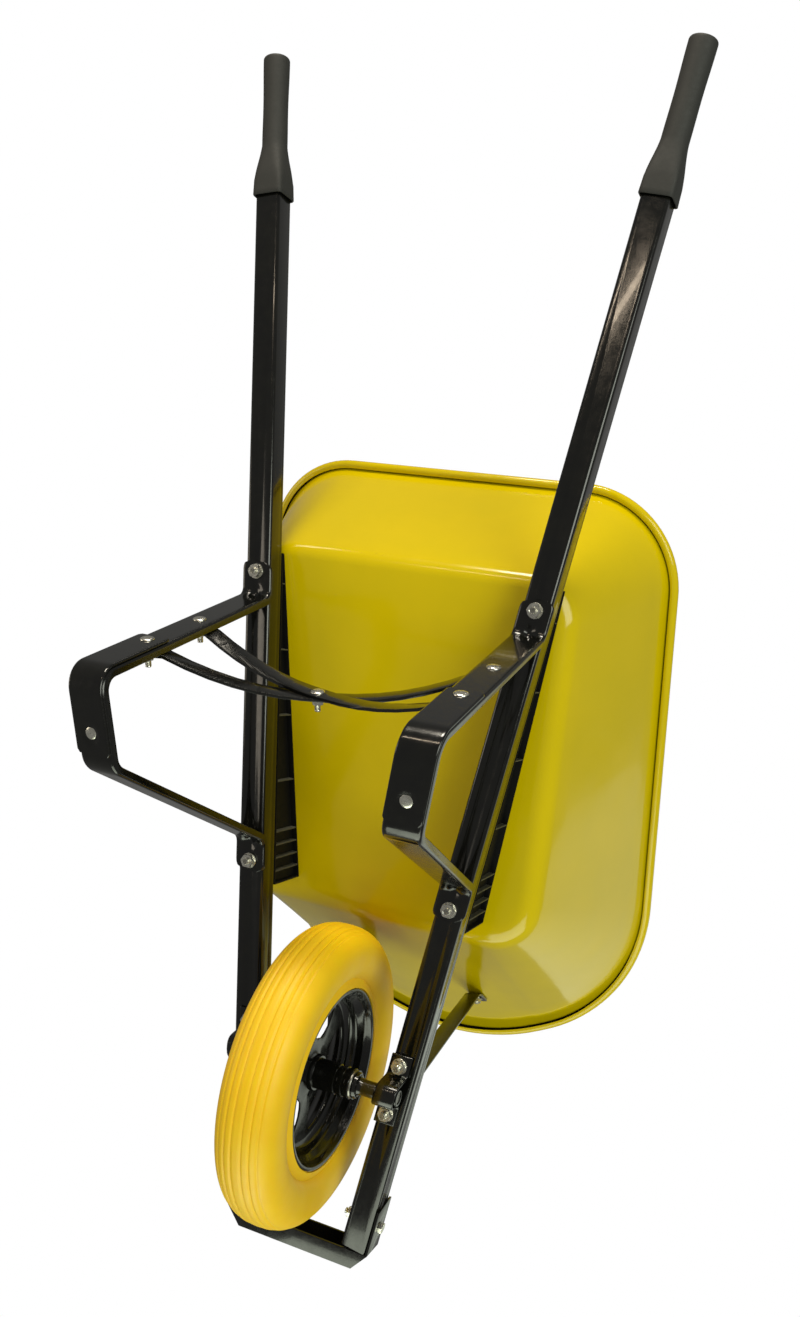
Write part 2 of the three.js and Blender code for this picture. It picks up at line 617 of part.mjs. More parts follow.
// ---------------------------------------------------------------- axle, sleeves, brackets, wheel
function bracketGeometry(sign) {
  const tab = -(tubeFace + BRACKET_THICKNESS);
  const round = SLEEVE_RADIUS + GAP + BRACKET_THICKNESS;
  const low = -AXLE_DROP - round;
  const path = bentPath([
    { at: [BRACKET_BOLT + BRACKET_TAB, tab] }, { at: [round + 6, tab], radius: 5 },
    { at: [round, low], radius: round - 0.5 }, { at: [-round, low], radius: round - 0.5 },
    { at: [-round - 6, tab], radius: 5 }, { at: [-BRACKET_BOLT - BRACKET_TAB, tab] },
  ], 5);
  const strap = plate(bandShape(path, -BRACKET_THICKNESS, 0), BRACKET_WIDTH);
  followHandle(strap, sign).translate(-sign * BRACKET_SHIFT, 0, 0);
  const holes = [-BRACKET_BOLT, BRACKET_BOLT].map((y) =>
    bar(bracketBolt(sign, y), UP, M10.shank + HOLE, 20, BOLT_SIDES).translate(0, 0, tab));
  return cut(strap, ...holes);
}

const bracketBolt = (sign, y) => new THREE.Vector3(sign * (handleAt(y) - BRACKET_SHIFT), y, 0);
const sleeveStart = HUB_LENGTH / 2 + BEARING_FLANGE + SLEEVE_GAP;
const sleeveEnd = HANDLE_HALF_AT_AXLE - BRACKET_SHIFT + BRACKET_WIDTH / 2 + 2;

function sleeveGeometry(sign) {
  const bore = AXLE_RADIUS + GAP;
  const [r, m] = [SLEEVE_RADIUS, SLEEVE_MOUTH];
  const wall = 1.6;
  const profile = [
    [sleeveEnd, bore], [sleeveEnd, r], [sleeveStart + 15, r], [sleeveStart + 7, r + 2],
    [sleeveStart + 2.5, r + 5.2], [sleeveStart, m], [sleeveStart, m - wall],
    [sleeveStart + 3, r + 2.6], [sleeveStart + 9, r - 1.4], [sleeveStart + 14, bore],
  ];
  const directed = sign > 0 ? profile : profile.map(([x, y]) => [-x, y]).reverse();
  return turned(directed, 20);
}

function tyreGeometry() {
  const seat = RIM_RADIUS - 1;
  const half = RIM_WIDTH / 2 - RIM_WALL - GAP;
  const mid = (WHEEL_RADIUS + RIM_RADIUS) / 2;
  const profile = [[half, seat], [half, RIM_RADIUS + GAP + 0.8], [half + 3.4, RIM_RADIUS + GAP + 0.8]];
  const bulge = WHEEL_RADIUS - mid - 2;
  for (let k = 0; k <= 12; k++) {
    const a = THREE.MathUtils.degToRad(-48 + (276 * k) / 12);
    const c = Math.cos(a);
    const s = Math.sin(a);
    const x = (TYRE_WIDTH / 2) * Math.sign(c) * Math.abs(c) ** 0.8;
    profile.push([x, mid + 2 + bulge * Math.sign(s) * Math.abs(s) ** 0.9]);
  }
  profile.push([-half - 3.4, RIM_RADIUS + GAP + 0.8], [-half, RIM_RADIUS + GAP + 0.8], [-half, seat]);
  const well = RIM_RADIUS - RIM_WELL + GAP + 1;
  profile.push([-half + 8, seat - 2], [-half + 16, well], [half - 16, well], [half - 8, seat - 2]);
  return turned(profile, 48);
}

function rimGeometry() {
  const half = RIM_WIDTH / 2;
  const t = RIM_WALL;
  const seat = RIM_RADIUS - 1 - GAP - 1;
  const well = RIM_RADIUS - RIM_WELL;
  const hole = HUB_RADIUS + GAP;
  const side = (s) => [
    [s * (t / 2), hole], [s * (t / 2 + 9), hole], [s * (t / 2 + 9), hole + t],
    [s * (t / 2 + 1), hole + 9], [s * (t / 2), hole + 18], [s * (t / 2), well - t - 6],
    [s * (half - 22), well - t], [s * (half - 13), seat - t - 4], [s * (half - t), seat - t - 1],
    [s * half, seat], [s * half, RIM_RADIUS], [s * (half - t), RIM_RADIUS],
    [s * (half - t), seat + 0.6], [s * (half - 10), seat - 1.6], [s * (half - 18), well],
  ];
  const wheelSide = side(1);
  const farSide = side(-1).reverse();
  const lathe = turned([...wheelSide, ...farSide], 36);
  const windows = Array.from({ length: WINDOW_COUNT }, (_, k) => {
    const start = (2 * Math.PI * k) / WINDOW_COUNT;
    const sweep = (2 * Math.PI) / WINDOW_COUNT - 0.42;
    const [low, high] = [HUB_RADIUS + 24, well - t - 12];
    const shape = new THREE.Shape();
    shape.absarc(0, 0, high, start, start + sweep, false);
    shape.absarc(0, 0, low, start + sweep - 0.1, start + 0.1, true);
    shape.closePath();
    return plate(shape, 30);
  });
  return cut(lathe, ...windows);
}

function buildWheel() {
  const wheel = new THREE.Group();
  wheel.position.z = -AXLE_DROP;
  chassis.add(wheel);
  const half = HUB_LENGTH / 2;
  const inner = HUB_RADIUS - HUB_WALL;
  add(wheel, "tyre", tyreGeometry(), foam());
  add(wheel, "rim", rimGeometry(), blackEnamel());
  const hubTube = turned([[-half, inner], [half, inner], [half, HUB_RADIUS], [-half, HUB_RADIUS]], 24);
  add(wheel, "hub", hubTube, blackEnamel());
  for (const { name, sign } of SIDES) {
    const bore = AXLE_RADIUS + GAP;
    const seat = inner - GAP;
    const profile = [
      [half - BEARING_LENGTH, bore], [half + BEARING_FLANGE, bore],
      [half + BEARING_FLANGE, HUB_RADIUS - 2], [half + GAP, HUB_RADIUS - 1],
      [half + GAP, seat], [half - BEARING_LENGTH, seat],
    ];
    const directed = sign > 0 ? profile : profile.map(([x, r]) => [-x, r]).reverse();
    add(wheel, `bearing_${name}`, turned(directed, 24), bearingSteel());
    add(wheel, `axle_sleeve_${name}`, sleeveGeometry(sign), blackEnamel());
    add(chassis, `axle_bracket_${name}`, bracketGeometry(sign), blackEnamel());
  }
  const axle = bar(new THREE.Vector3(), ACROSS, AXLE_RADIUS, 2 * (sleeveEnd - 1), 24);
  add(wheel, "axle", axle, zinc());
  const nippleAt = new THREE.Vector3(-half + 18, 0, HUB_RADIUS + GAP);
  const nipple = join(
    bar(new THREE.Vector3(0, 0, 2), UP, 4.5, 4, 6), bar(new THREE.Vector3(0, 0, 5.5), UP, 2.6, 4, 10));
  add(wheel, "grease_nipple", nipple.translate(nippleAt.x, nippleAt.y, nippleAt.z), zinc());
}

// ---------------------------------------------------------------- nose guard
function noseGeometry() {
  const outer = (y) => handleAt(y) + TUBE / 2 / Math.cos(splayAngle) + GAP;
  const front = HANDLE_FRONT - NOSE_DEPTH;
  const height = TUBE;
  const t = NOSE_STEEL;
  const rear = WING_END_HIGH;
  const contour = (offset, back) => [
    [outer(back) + offset, back], [outer(HANDLE_FRONT) + offset, HANDLE_FRONT],
    [outer(HANDLE_FRONT) + offset - NOSE_CHAMFER, front + (t - offset)],
  ];
  const mirrored = (points) => points.map(([x, y]) => [-x, y]).reverse();
  const toShape = (points) => new THREE.Shape(points.map(([x, y]) => new THREE.Vector2(x, y)));
  const skin = contour(t, rear);
  const hollow = contour(0, rear + 20);
  const body = new THREE.ExtrudeGeometry(toShape([...skin, ...mirrored(skin)]),
    { depth: height, bevelEnabled: false }).translate(0, 0, -height / 2);
  const room = new THREE.ExtrudeGeometry(toShape([...hollow, ...mirrored(hollow)]),
    { depth: height - 2 * t, bevelEnabled: false }).translate(0, 0, -height / 2 + t);
  const behind = contour(0, rear + 20).slice(0, 2);
  behind[1] = [outer(HANDLE_FRONT + GAP), HANDLE_FRONT + GAP];
  const clear = new THREE.ExtrudeGeometry(toShape([...behind, ...mirrored(behind)]),
    { depth: height + 4, bevelEnabled: false }).translate(0, 0, -height / 2 - 2);
  const slope = new THREE.Shape([[WING_END_LOW, -height], [rear + 30, -height], [rear + 30, height],
    [WING_END_HIGH + (WING_END_HIGH - WING_END_LOW) / 2, height],
  ].map(([y, z]) => new THREE.Vector2(y, z)));
  const trim = plate(slope, 400);
  const holes = SIDES.map(({ sign }) => bar(
    new THREE.Vector3(sign * handleAt(WING_BOLT), WING_BOLT, 0), wingAxis(sign), M8.shank + HOLE, 60, BOLT_SIDES));
  return cut(body, room, clear, trim, ...holes);
}

const wingAxis = (sign) => new THREE.Vector3(sign, -HANDLE_SPLAY, 0).normalize();

// ---------------------------------------------------------------- tray stays
function stayGeometry(sign) {
  const seat = wallSeat(sign);
  const t = STAY_STEEL;
  const foot = -BRACKET_BOLT;
  const base = tubeFace;
  const x = (y) => sign * (handleAt(y) - BRACKET_SHIFT);
  const frame = (point, normal, across) => ({ point, normal: normal.clone().normalize(), across });
  const side = ACROSS.clone();
  const flat = seat.along.clone().multiplyScalar(Math.sign(seat.along.x));
  const tabNormal = seat.normal;
  const near = seat.point.clone().addScaledVector(tabNormal, 3 * GAP + t / 2);
  const low = near.clone().addScaledVector(seat.rise, -STAY_TAB / 2);
  const high = near.clone().addScaledVector(seat.rise, STAY_TAB / 2);
  const risen = new THREE.Vector3(x(STAY_FOOT), STAY_FOOT + 4, base + 8);
  const under = low.clone().add(new THREE.Vector3(0, 2, -12));
  const upright = new THREE.Vector3(0, -1, 0.06);
  const frames = [
    frame(new THREE.Vector3(x(foot), foot - 13, base + t / 2), UP.clone(), side),
    frame(new THREE.Vector3(x(foot), STAY_FOOT - 6, base + t / 2), UP.clone(), side),
    frame(new THREE.Vector3(x(STAY_FOOT), STAY_FOOT, base + t * 0.9),
      new THREE.Vector3(0, -1, 1.2), side),
    ...Array.from({ length: STAY_STEPS + 1 }, (_, k) => frame(
      risen.clone().lerp(under, k / STAY_STEPS), upright, side.clone().lerp(flat, k / STAY_STEPS))),
    frame(low.clone().addScaledVector(seat.rise, 4), tabNormal, flat),
    frame(high, tabNormal, flat),
  ];
  const rings = frames.map(({ point, normal, across }) => {
    const corner = (a, n) => point.clone()
      .addScaledVector(across, (a * STAY_WIDTH) / 2).addScaledVector(normal, (n * t) / 2);
    return [corner(-1, 1), corner(1, 1), corner(1, -1), corner(-1, -1)];
  });
  const strap = loft(rings);
  return cut(strap,
    bar(new THREE.Vector3(x(foot), foot, base), UP, M10.shank + HOLE, 20, BOLT_SIDES),
    bar(seat.point, seat.normal, M8.shank + HOLE, 20, BOLT_SIDES));
}

// ---------------------------------------------------------------- bolts and nuts
function buildFasteners() {
  const low = new THREE.Vector3(0, 0, -1);
  for (const { name, sign } of SIDES) {
    for (const [place_, y] of [["rear", REAR_BOLT], ["front", FRONT_BOLT]]) {
      const head = { height: 3, radius: M10.dome };
      const top = floorAt(y) + TRAY_STEEL + GAP - FLOOR.slope * M10.dome;
      const nutFace = tabZ - GAP;
      const length = top - nutFace + M10.nut + 4;
      const bolt = add(chassis, `tray_bolt_${place_}_${name}`, boltGeometry(M10, length, head), zinc());
      place(bolt, new THREE.Vector3(sign * handleAt(y), y, top), UP);
      const nut = add(chassis, `tray_nut_${place_}_${name}`, nutGeometry(M10), zinc());
      place(nut, new THREE.Vector3(sign * handleAt(y), y, nutFace), UP);
    }
    for (const [label, y] of [["upper", UPPER_BRACE_BOLT], ["lower", LOWER_BRACE_BOLT]]) {
      const stack = y === LOWER_BRACE_BOLT ? 2 * GAP + SHOE_STEEL : GAP;
      const seat = legPoint(sign, rearWebAt(y)).addScaledVector(outAxis, stack);
      const nutDepth = stack + braceSeat + BRACE_STEEL + GAP;
      const head = { height: BRACE_HEAD, radius: M8.dome };
      const bolt = add(chassis, `brace_bolt_${label}_${name}`,
        boltGeometry(M8, nutDepth + M8.nut + BRACE_BOLT_SPARE, head), zinc());
      place(bolt, seat, outAxis);
      const nut = add(chassis, `brace_nut_${label}_${name}`, nutGeometry(M8), zinc());
      place(nut, seat.clone().addScaledVector(outAxis, -nutDepth), outAxis);
    }
    const footAxis = sideways(footOut);
    const foot = legPoint(sign, new THREE.Vector2(FOOT_REFERENCE, groundAt(FOOT_REFERENCE)));
    const headSeat = foot.clone().addScaledVector(footAxis, -(SHOE_STEEL - 1.3) + GAP);
    const shoeNut = 1.3 + GAP + LEG_STEEL + 2 * GAP;
    const shoeHead = { height: 2, radius: SHOE_HEAD };
    const shoeBolt = add(chassis, `shoe_bolt_${name}`,
      boltGeometry(M8, shoeNut + M8.nut + 3, shoeHead), zinc());
    place(shoeBolt, headSeat, footAxis);
    const nut = add(chassis, `shoe_nut_${name}`, nutGeometry(M8), zinc());
    place(nut, headSeat.clone().addScaledVector(footAxis, -shoeNut), footAxis);
    for (const [label, y] of [["rear", BRACKET_BOLT], ["front", -BRACKET_BOLT]]) {
      const stay = y < 0 ? STAY_STEEL + GAP : 0;
      const top = tubeFace + stay;
      const grip = top + tubeFace + BRACKET_THICKNESS + GAP;
      const bolt = add(chassis, `bracket_bolt_${label}_${name}`,
        boltGeometry(M10, grip + M10.nut + 7, "hex", grip), zinc());
      place(bolt, bracketBolt(sign, y).setZ(top), UP);
    }
    const wingGrip = TUBE + NOSE_STEEL + 4 * GAP;
    const wing = add(chassis, `nose_bolt_${name}`,
      boltGeometry(M8, wingGrip + M8.nut + 4, "hex", wingGrip), zinc());
    const outside = TUBE / 2 / Math.cos(splayAngle) + NOSE_STEEL + 2 * GAP;
    place(wing, new THREE.Vector3(sign * handleAt(WING_BOLT), WING_BOLT, 0)
      .addScaledVector(wingAxis(sign), outside + 0.2), wingAxis(sign));
    add(chassis, `tray_stay_${name}`, stayGeometry(sign), blackEnamel());
    const seat = wallSeat(sign);
    const stayStack = STAY_STEEL + TRAY_STEEL + 4 * GAP;
    const stayHead = { height: BRACE_HEAD, radius: M8.dome };
    const stayBolt = add(chassis, `stay_bolt_${name}`,
      boltGeometry(M8, stayStack + M8.nut + 3, stayHead, stayStack + 0.8), zinc());
    const inside = seat.point.clone().addScaledVector(seat.normal, -(TRAY_STEEL + GAP + 0.5));
    place(stayBolt, inside, seat.normal.clone().negate());
  }
  const [a, b] = [braceEnd(1, UPPER_BRACE_BOLT), braceEnd(-1, LOWER_BRACE_BOLT)];
  const middle = a.clone().lerp(b, a.x / (a.x - b.x));
  const upperFace = BRACE_BOW - (BRACE_STEEL + BRACE_CROSS_GAP);
  const head = middle.clone().addScaledVector(outAxis, -upperFace + GAP);
  const stack = 2 * BRACE_STEEL + BRACE_CROSS_GAP + 2 * GAP;
  const bolt = add(chassis, "cross_bolt",
    boltGeometry(M8, stack + M8.nut + BRACE_BOLT_SPARE, { height: BRACE_HEAD, radius: M8.dome }), zinc());
  place(bolt, head, outAxis);
  const nut = add(chassis, "cross_nut", nutGeometry(M8), zinc());
  place(nut, head.clone().addScaledVector(outAxis, -stack), outAxis);
}

buildTray();
buildHandles();
buildLegs();
buildWheel();
add(chassis, "nose_guard", noseGeometry(), blackEnamel());
buildFasteners();

// stand the barrow on its wheel and shoes, centred over the origin
barrow.updateMatrixWorld(true);
const size = new THREE.Box3().setFromObject(barrow, true);
barrow.position.y = -(size.min.y + size.max.y) / 2;
barrow.position.z = -size.min.z;

export default barrow;
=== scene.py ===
"""A contractor's wheelbarrow: a deep enamelled tray on splayed square handles, with a foam tyre."""

import logging
import math
from contextlib import contextmanager
from dataclasses import dataclass
from enum import Enum
from typing import Callable, Iterator, Sequence

import bmesh
import bpy
from mathutils import Matrix, Vector
from mathutils.noise import noise

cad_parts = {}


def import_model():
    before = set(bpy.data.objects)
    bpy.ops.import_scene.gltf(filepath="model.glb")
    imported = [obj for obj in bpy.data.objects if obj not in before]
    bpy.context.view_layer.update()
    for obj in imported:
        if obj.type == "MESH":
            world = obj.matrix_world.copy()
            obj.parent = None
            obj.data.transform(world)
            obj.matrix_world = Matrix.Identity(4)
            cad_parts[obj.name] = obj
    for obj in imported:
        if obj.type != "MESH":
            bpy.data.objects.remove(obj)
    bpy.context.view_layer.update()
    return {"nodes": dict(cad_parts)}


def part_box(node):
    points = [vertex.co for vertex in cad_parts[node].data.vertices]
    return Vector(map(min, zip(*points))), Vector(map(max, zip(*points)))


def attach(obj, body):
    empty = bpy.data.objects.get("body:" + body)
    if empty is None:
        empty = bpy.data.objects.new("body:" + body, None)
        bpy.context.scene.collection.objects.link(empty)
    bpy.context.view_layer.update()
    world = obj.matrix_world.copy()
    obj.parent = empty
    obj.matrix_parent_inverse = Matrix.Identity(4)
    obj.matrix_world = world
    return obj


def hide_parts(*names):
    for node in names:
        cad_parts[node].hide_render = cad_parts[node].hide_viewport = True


LOG = logging.getLogger("wheelbarrow")
MM = 0.001
# Points closer than this, in metres, are one; the CAD's own doubles lie a little further apart.
WELD = 1e-6
CAD_WELD = 2e-6
# Neighbouring CAD faces within this many degrees are one flat face.
FLAT_ANGLE = 0.7
# How deep the light scatters in the foam, in metres.
SCATTER = 0.004
# The size of the haze's patches, as a share of the colour's.
HAZE_SHARE = 0.45
UP = Vector((0, 0, 1))
ACROSS = Vector((1, 0, 0))
Ring = list[Vector]


class Side(Enum):
    """The two mirrored halves of the barrow; the value is the sign of X."""

    LEFT = 1
    RIGHT = -1

    @property
    def label(self) -> str:
        """The word that ends the side's node names."""
        return self.name.lower()


class Body(Enum):
    """The rigid bodies that pieces ride on."""

    FRAME = "frame"
    WHEEL = "wheel"


# ---------------------------------------------------------------- finishes
def linear(colour: str) -> tuple[float, float, float, float]:
    """Turns an sRGB hex colour into linear RGBA.

    Args:
        colour: six hex digits after a hash.

    Returns:
        Linear red, green, blue and an alpha of one.
    """
    channels = [int(colour[i : i + 2], 16) / 255 for i in (1, 3, 5)]
    straight = [c / 12.92 if c <= 0.04045 else ((c + 0.055) / 1.055) ** 2.4 for c in channels]
    return (*straight, 1.0)


def put(tree: bpy.types.NodeTree, kind: str, inputs: dict | None = None,
        **settings: object) -> bpy.types.Node:
    """Adds a node, sets its settings and fills or links its inputs.

    Args:
        tree: the node tree that gets the node.
        kind: the node's type name.
        inputs: input name or index to a value, or to an output socket to link from.
        settings: the node's own properties.

    Returns:
        The new node.
    """
    made = tree.nodes.new(kind)
    for name, value in settings.items():
        setattr(made, name, value)
    for key, value in (inputs or {}).items():
        if isinstance(value, bpy.types.NodeSocket):
            tree.links.new(value, made.inputs[key])
        else:
            made.inputs[key].default_value = value
    return made


def cloud(tree: bpy.types.NodeTree, place: bpy.types.NodeSocket, size_mm: float, detail: float,
          roughness: float = 0.5) -> bpy.types.NodeSocket:
    """A soft noise texture.

    Args:
        tree: the material's tree.
        place: the coordinates to read.
        size_mm: the size of its blotches in millimetres.
        detail: how many finer layers it has.
        roughness: how strong they are.

    Returns:
        The factor socket.
    """
    noisy = put(tree, "ShaderNodeTexNoise", {
        "Vector": place, "Scale": 1 / (size_mm * MM), "Detail": detail, "Roughness": roughness})
    return noisy.outputs["Fac"]


def placed(name: str, data: bpy.types.ID | None) -> bpy.types.Object:
    """Makes an object and links it into the scene.

    Args:
        name: its name.
        data: the mesh, lamp or camera that it holds.

    Returns:
        The object.
    """
    made = bpy.data.objects.new(name, data)
    bpy.context.scene.collection.objects.link(made)
    return made


@contextmanager
def opened(mesh: bpy.types.Mesh) -> Iterator[bmesh.types.BMesh]:
    """Opens a mesh for editing, and writes the result back on leaving.

    Args:
        mesh: the mesh to edit.

    Yields:
        Its points and faces, ready to change.
    """
    work = bmesh.new()
    work.from_mesh(mesh)
    yield work
    work.to_mesh(mesh)
    work.free()


def facing(at: Vector, ahead: Vector) -> Matrix:
    """Stands a camera or a lamp at a point, looking ahead."""
    return Matrix.Translation(at) @ ahead.to_track_quat("-Z", "Y").to_matrix().to_4x4()


def bevelled(holder: bpy.types.Object, width_mm: float, segments: int,
             angle: float) -> bpy.types.BevelModifier:
    """Gives an object a bevel on its sharp edges.

    Args:
        holder: the object.
        width_mm: the bevel's width.
        segments: steps across it.
        angle: edges sharper than this many degrees are taken.

    Returns:
        The modifier.
    """
    bevel = holder.modifiers.new("ease", "BEVEL")
    bevel.width = width_mm * MM
    bevel.segments = segments
    bevel.limit_method = "ANGLE"
    bevel.angle_limit = math.radians(angle)
    return bevel


@dataclass(frozen=True)
class Finish:
    """A surface finish: its base values, and the sizes of its texture in millimetres."""

    name: str
    slot: str
    colour: str
    shade: str
    roughness: tuple[float, float]
    metallic: float = 0.0
    coat: float = 0.0
    coat_roughness: float = 0.05
    ior: float = 1.5
    subsurface: float = 0.0
    mottle_mm: float = 60.0
    mottle: float = 0.4
    grain_mm: float = 2.0
    relief_mm: float = 0.02
    ripple_mm: float = 0.0
    ripple_relief_mm: float = 0.0

    def build(self) -> bpy.types.Material:
        """Makes the node material.

        Returns:
            The material, with colour, roughness and bump from procedural textures.
        """
        material = bpy.data.materials.new(self.name)
        material.use_nodes = True
        tree = material.node_tree
        tree.nodes.clear()
        place = put(tree, "ShaderNodeTexCoord").outputs["Object"]
        shader = put(tree, "ShaderNodeBsdfPrincipled", {
            "Metallic": self.metallic, "Coat Weight": self.coat, "Coat Roughness": self.coat_roughness,
            "Subsurface Weight": self.subsurface,
        })
        if not self.metallic:
            shader.inputs["IOR"].default_value = self.ior
        if self.subsurface:
            shader.inputs["Subsurface Scale"].default_value = SCATTER
        tree.links.new(self.tone(tree, place), shader.inputs["Base Color"])
        tree.links.new(self.sheen(tree, place), shader.inputs["Roughness"])
        tree.links.new(self.relief(tree, place), shader.inputs["Normal"])
        put(tree, "ShaderNodeOutputMaterial", {"Surface": shader.outputs["BSDF"]})
        return material

    def tone(self, tree: bpy.types.NodeTree, place: bpy.types.NodeSocket) -> bpy.types.NodeSocket:
        """Colour that drifts between the finish's two tones.

        Args:
            tree: the material's tree.
            place: the coordinates to read.

        Returns:
            The colour socket.
        """
        drift = cloud(tree, place, self.mottle_mm, detail=5.0, roughness=0.6)
        amount = put(tree, "ShaderNodeMapRange", {
            "Value": drift, "From Min": 0.35, "From Max": 0.7, "To Min": 0.0, "To Max": self.mottle})
        mix = put(tree, "ShaderNodeMix", {
            "Factor": amount.outputs["Result"], 6: linear(self.colour), 7: linear(self.shade),
        }, data_type="RGBA")
        return mix.outputs[2]

    def sheen(self, tree: bpy.types.NodeTree, place: bpy.types.NodeSocket) -> bpy.types.NodeSocket:
        """Roughness that varies from wiped to hazy patches.

        Args:
            tree: the material's tree.
            place: the coordinates to read.

        Returns:
            The roughness socket.
        """
        haze = cloud(tree, place, HAZE_SHARE * self.mottle_mm, detail=6.0, roughness=0.65)
        level = put(tree, "ShaderNodeMapRange", {
            "Value": haze, "From Min": 0.3, "From Max": 0.7,
            "To Min": self.roughness[0], "To Max": self.roughness[1]})
        return level.outputs["Result"]

    def relief(self, tree: bpy.types.NodeTree, place: bpy.types.NodeSocket) -> bpy.types.NodeSocket:
        """Fine grain over an optional longer ripple.

        Args:
            tree: the material's tree.
            place: the coordinates to read.

        Returns:
            The normal socket.
        """
        grain = cloud(tree, place, self.grain_mm, detail=3.0)
        fine = put(tree, "ShaderNodeBump", {
            "Height": grain, "Distance": self.relief_mm * MM, "Strength": 1.0})
        if not self.ripple_mm:
            return fine.outputs["Normal"]
        wave = cloud(tree, place, self.ripple_mm, detail=1.0)
        coarse = put(tree, "ShaderNodeBump", {
            "Height": wave, "Distance": self.ripple_relief_mm * MM, "Strength": 1.0,
            "Normal": fine.outputs["Normal"]})
        return coarse.outputs["Normal"]


# Baked gloss enamel over pressed steel: clean reflections with a slight orange peel.
YELLOW_ENAMEL = Finish(
    "yellow_baked_enamel", "yellow_enamel", "#d8bd00", "#c9b300", (0.1, 0.2), coat=0.22, ior=1.4,
    mottle_mm=180, mottle=0.5, grain_mm=4.0, relief_mm=0.012, ripple_mm=90, ripple_relief_mm=0.9)
# The inside of the rolled rim, painted near black: painted shade for the dark slit between the roll and the
# wall.
ROLL_SHADOW = Finish(
    "grimed_inside_of_roll", "yellow_enamel", "#1c1800", "#0c0a00", (0.7, 0.85), ior=1.2,
    mottle_mm=30, mottle=0.6, grain_mm=2.0, relief_mm=0.02)
# Dipped black enamel on tube and strap: wet looking, with dust nibs in the film.
BLACK_ENAMEL = Finish(
    "black_dip_enamel", "black_enamel", "#080807", "#11110b", (0.1, 0.24), coat=0.3,
    mottle_mm=25, mottle=0.6, grain_mm=2.5, relief_mm=0.03, ripple_mm=30, ripple_relief_mm=0.12)
# Self-skinning polyurethane foam: satin, faintly translucent, moulded smooth.
YELLOW_FOAM = Finish(
    "moulded_polyurethane_foam", "yellow_foam", "#f6c80c", "#ecb604", (0.42, 0.56), subsurface=0.08,
    mottle_mm=70, mottle=0.5, grain_mm=1.2, relief_mm=0.03)
# Moulded soft PVC grip: even dark grey with a spark-eroded mould texture.
GRIP_PVC = Finish(
    "moulded_pvc_grip", "grip_rubber", "#2b2b29", "#262624", (0.62, 0.74),
    mottle_mm=14, mottle=0.5, grain_mm=0.9, relief_mm=0.03)
# Injection moulded polypropylene: matt black with a fine grain.
RISER_PLASTIC = Finish(
    "moulded_polypropylene", "black_plastic", "#070706", "#0d0d0b", (0.6, 0.75), ior=1.3,
    mottle_mm=30, mottle=0.4, grain_mm=1.0, relief_mm=0.03)
# The same moulding on its thin ribs, scuffed pale along their edges.
SCUFFED_RIB = Finish(
    "scuffed_polypropylene", "black_plastic", "#3c3c34", "#55554a", (0.5, 0.65),
    mottle_mm=8, mottle=0.8, grain_mm=1.0, relief_mm=0.03)
# Bright zinc electroplate: clear metal with a faint spangle, a little uneven in gloss.
ZINC_PLATE = Finish(
    "bright_zinc_plate", "zinc_plate", "#f0eee4", "#cfccbe", (0.16, 0.36), metallic=1.0,
    mottle_mm=6, mottle=0.8, grain_mm=1.0, relief_mm=0.02)
# Turned bearing steel: greyer and duller than the plating.
BEARING_STEEL = Finish(
    "turned_bearing_steel", "bearing_steel", "#9c9a93", "#6c6a64", (0.28, 0.45), metallic=1.0,
    mottle_mm=8, mottle=0.6, grain_mm=0.8, relief_mm=0.02)


class Paintshop:
    """Makes each finish once and hands it out."""

    def __init__(self) -> None:
        """Starts with no materials made."""
        self.made: dict[str, bpy.types.Material] = {}

    def material(self, finish: Finish) -> bpy.types.Material:
        """Makes a finish's material on first use.

        Args:
            finish: the finish.

        Returns:
            Its one material.
        """
        if finish.name not in self.made:
            self.made[finish.name] = finish.build()
        return self.made[finish.name]


# ---------------------------------------------------------------- the chassis frame
@dataclass(frozen=True)
class Chassis:
    """The barrow's own frame in millimetres: x across, y the station along it, z over the handle line."""

    axle: Vector
    wheel_radius: float = 200.0
    axle_drop: float = 43.0
    foot_station: float = 442.6
    foot_drop: float = 363.0
    handle_half: float = 117.4
    splay: float = 0.13335
    tube: float = 38.0
    gap: float = 0.3

    @property
    def pitch(self) -> float:
        """The angle that brings wheel and shoes to the ground together.

        Returns:
            Radians about +X.
        """
        fall = self.foot_drop - self.axle_drop
        return math.atan2(fall, self.foot_station) - math.asin(
            self.wheel_radius / math.hypot(fall, self.foot_station))

    @property
    def matrix(self) -> Matrix:
        """Carries chassis millimetres into the row frame in metres."""
        return (Matrix.Translation(self.axle) @ Matrix.Rotation(self.pitch, 4, "X")
                @ Matrix.Scale(MM, 4) @ Matrix.Translation((0, 0, self.axle_drop)))

    def handle_x(self, station: float) -> float:
        """Half the spacing of the handles' centre lines at a station."""
        return self.handle_half + self.splay * station

    def ground(self, station: float) -> float:
        """Height of the ground under a station."""
        return -self.foot_drop - math.tan(self.pitch) * (station - self.foot_station)


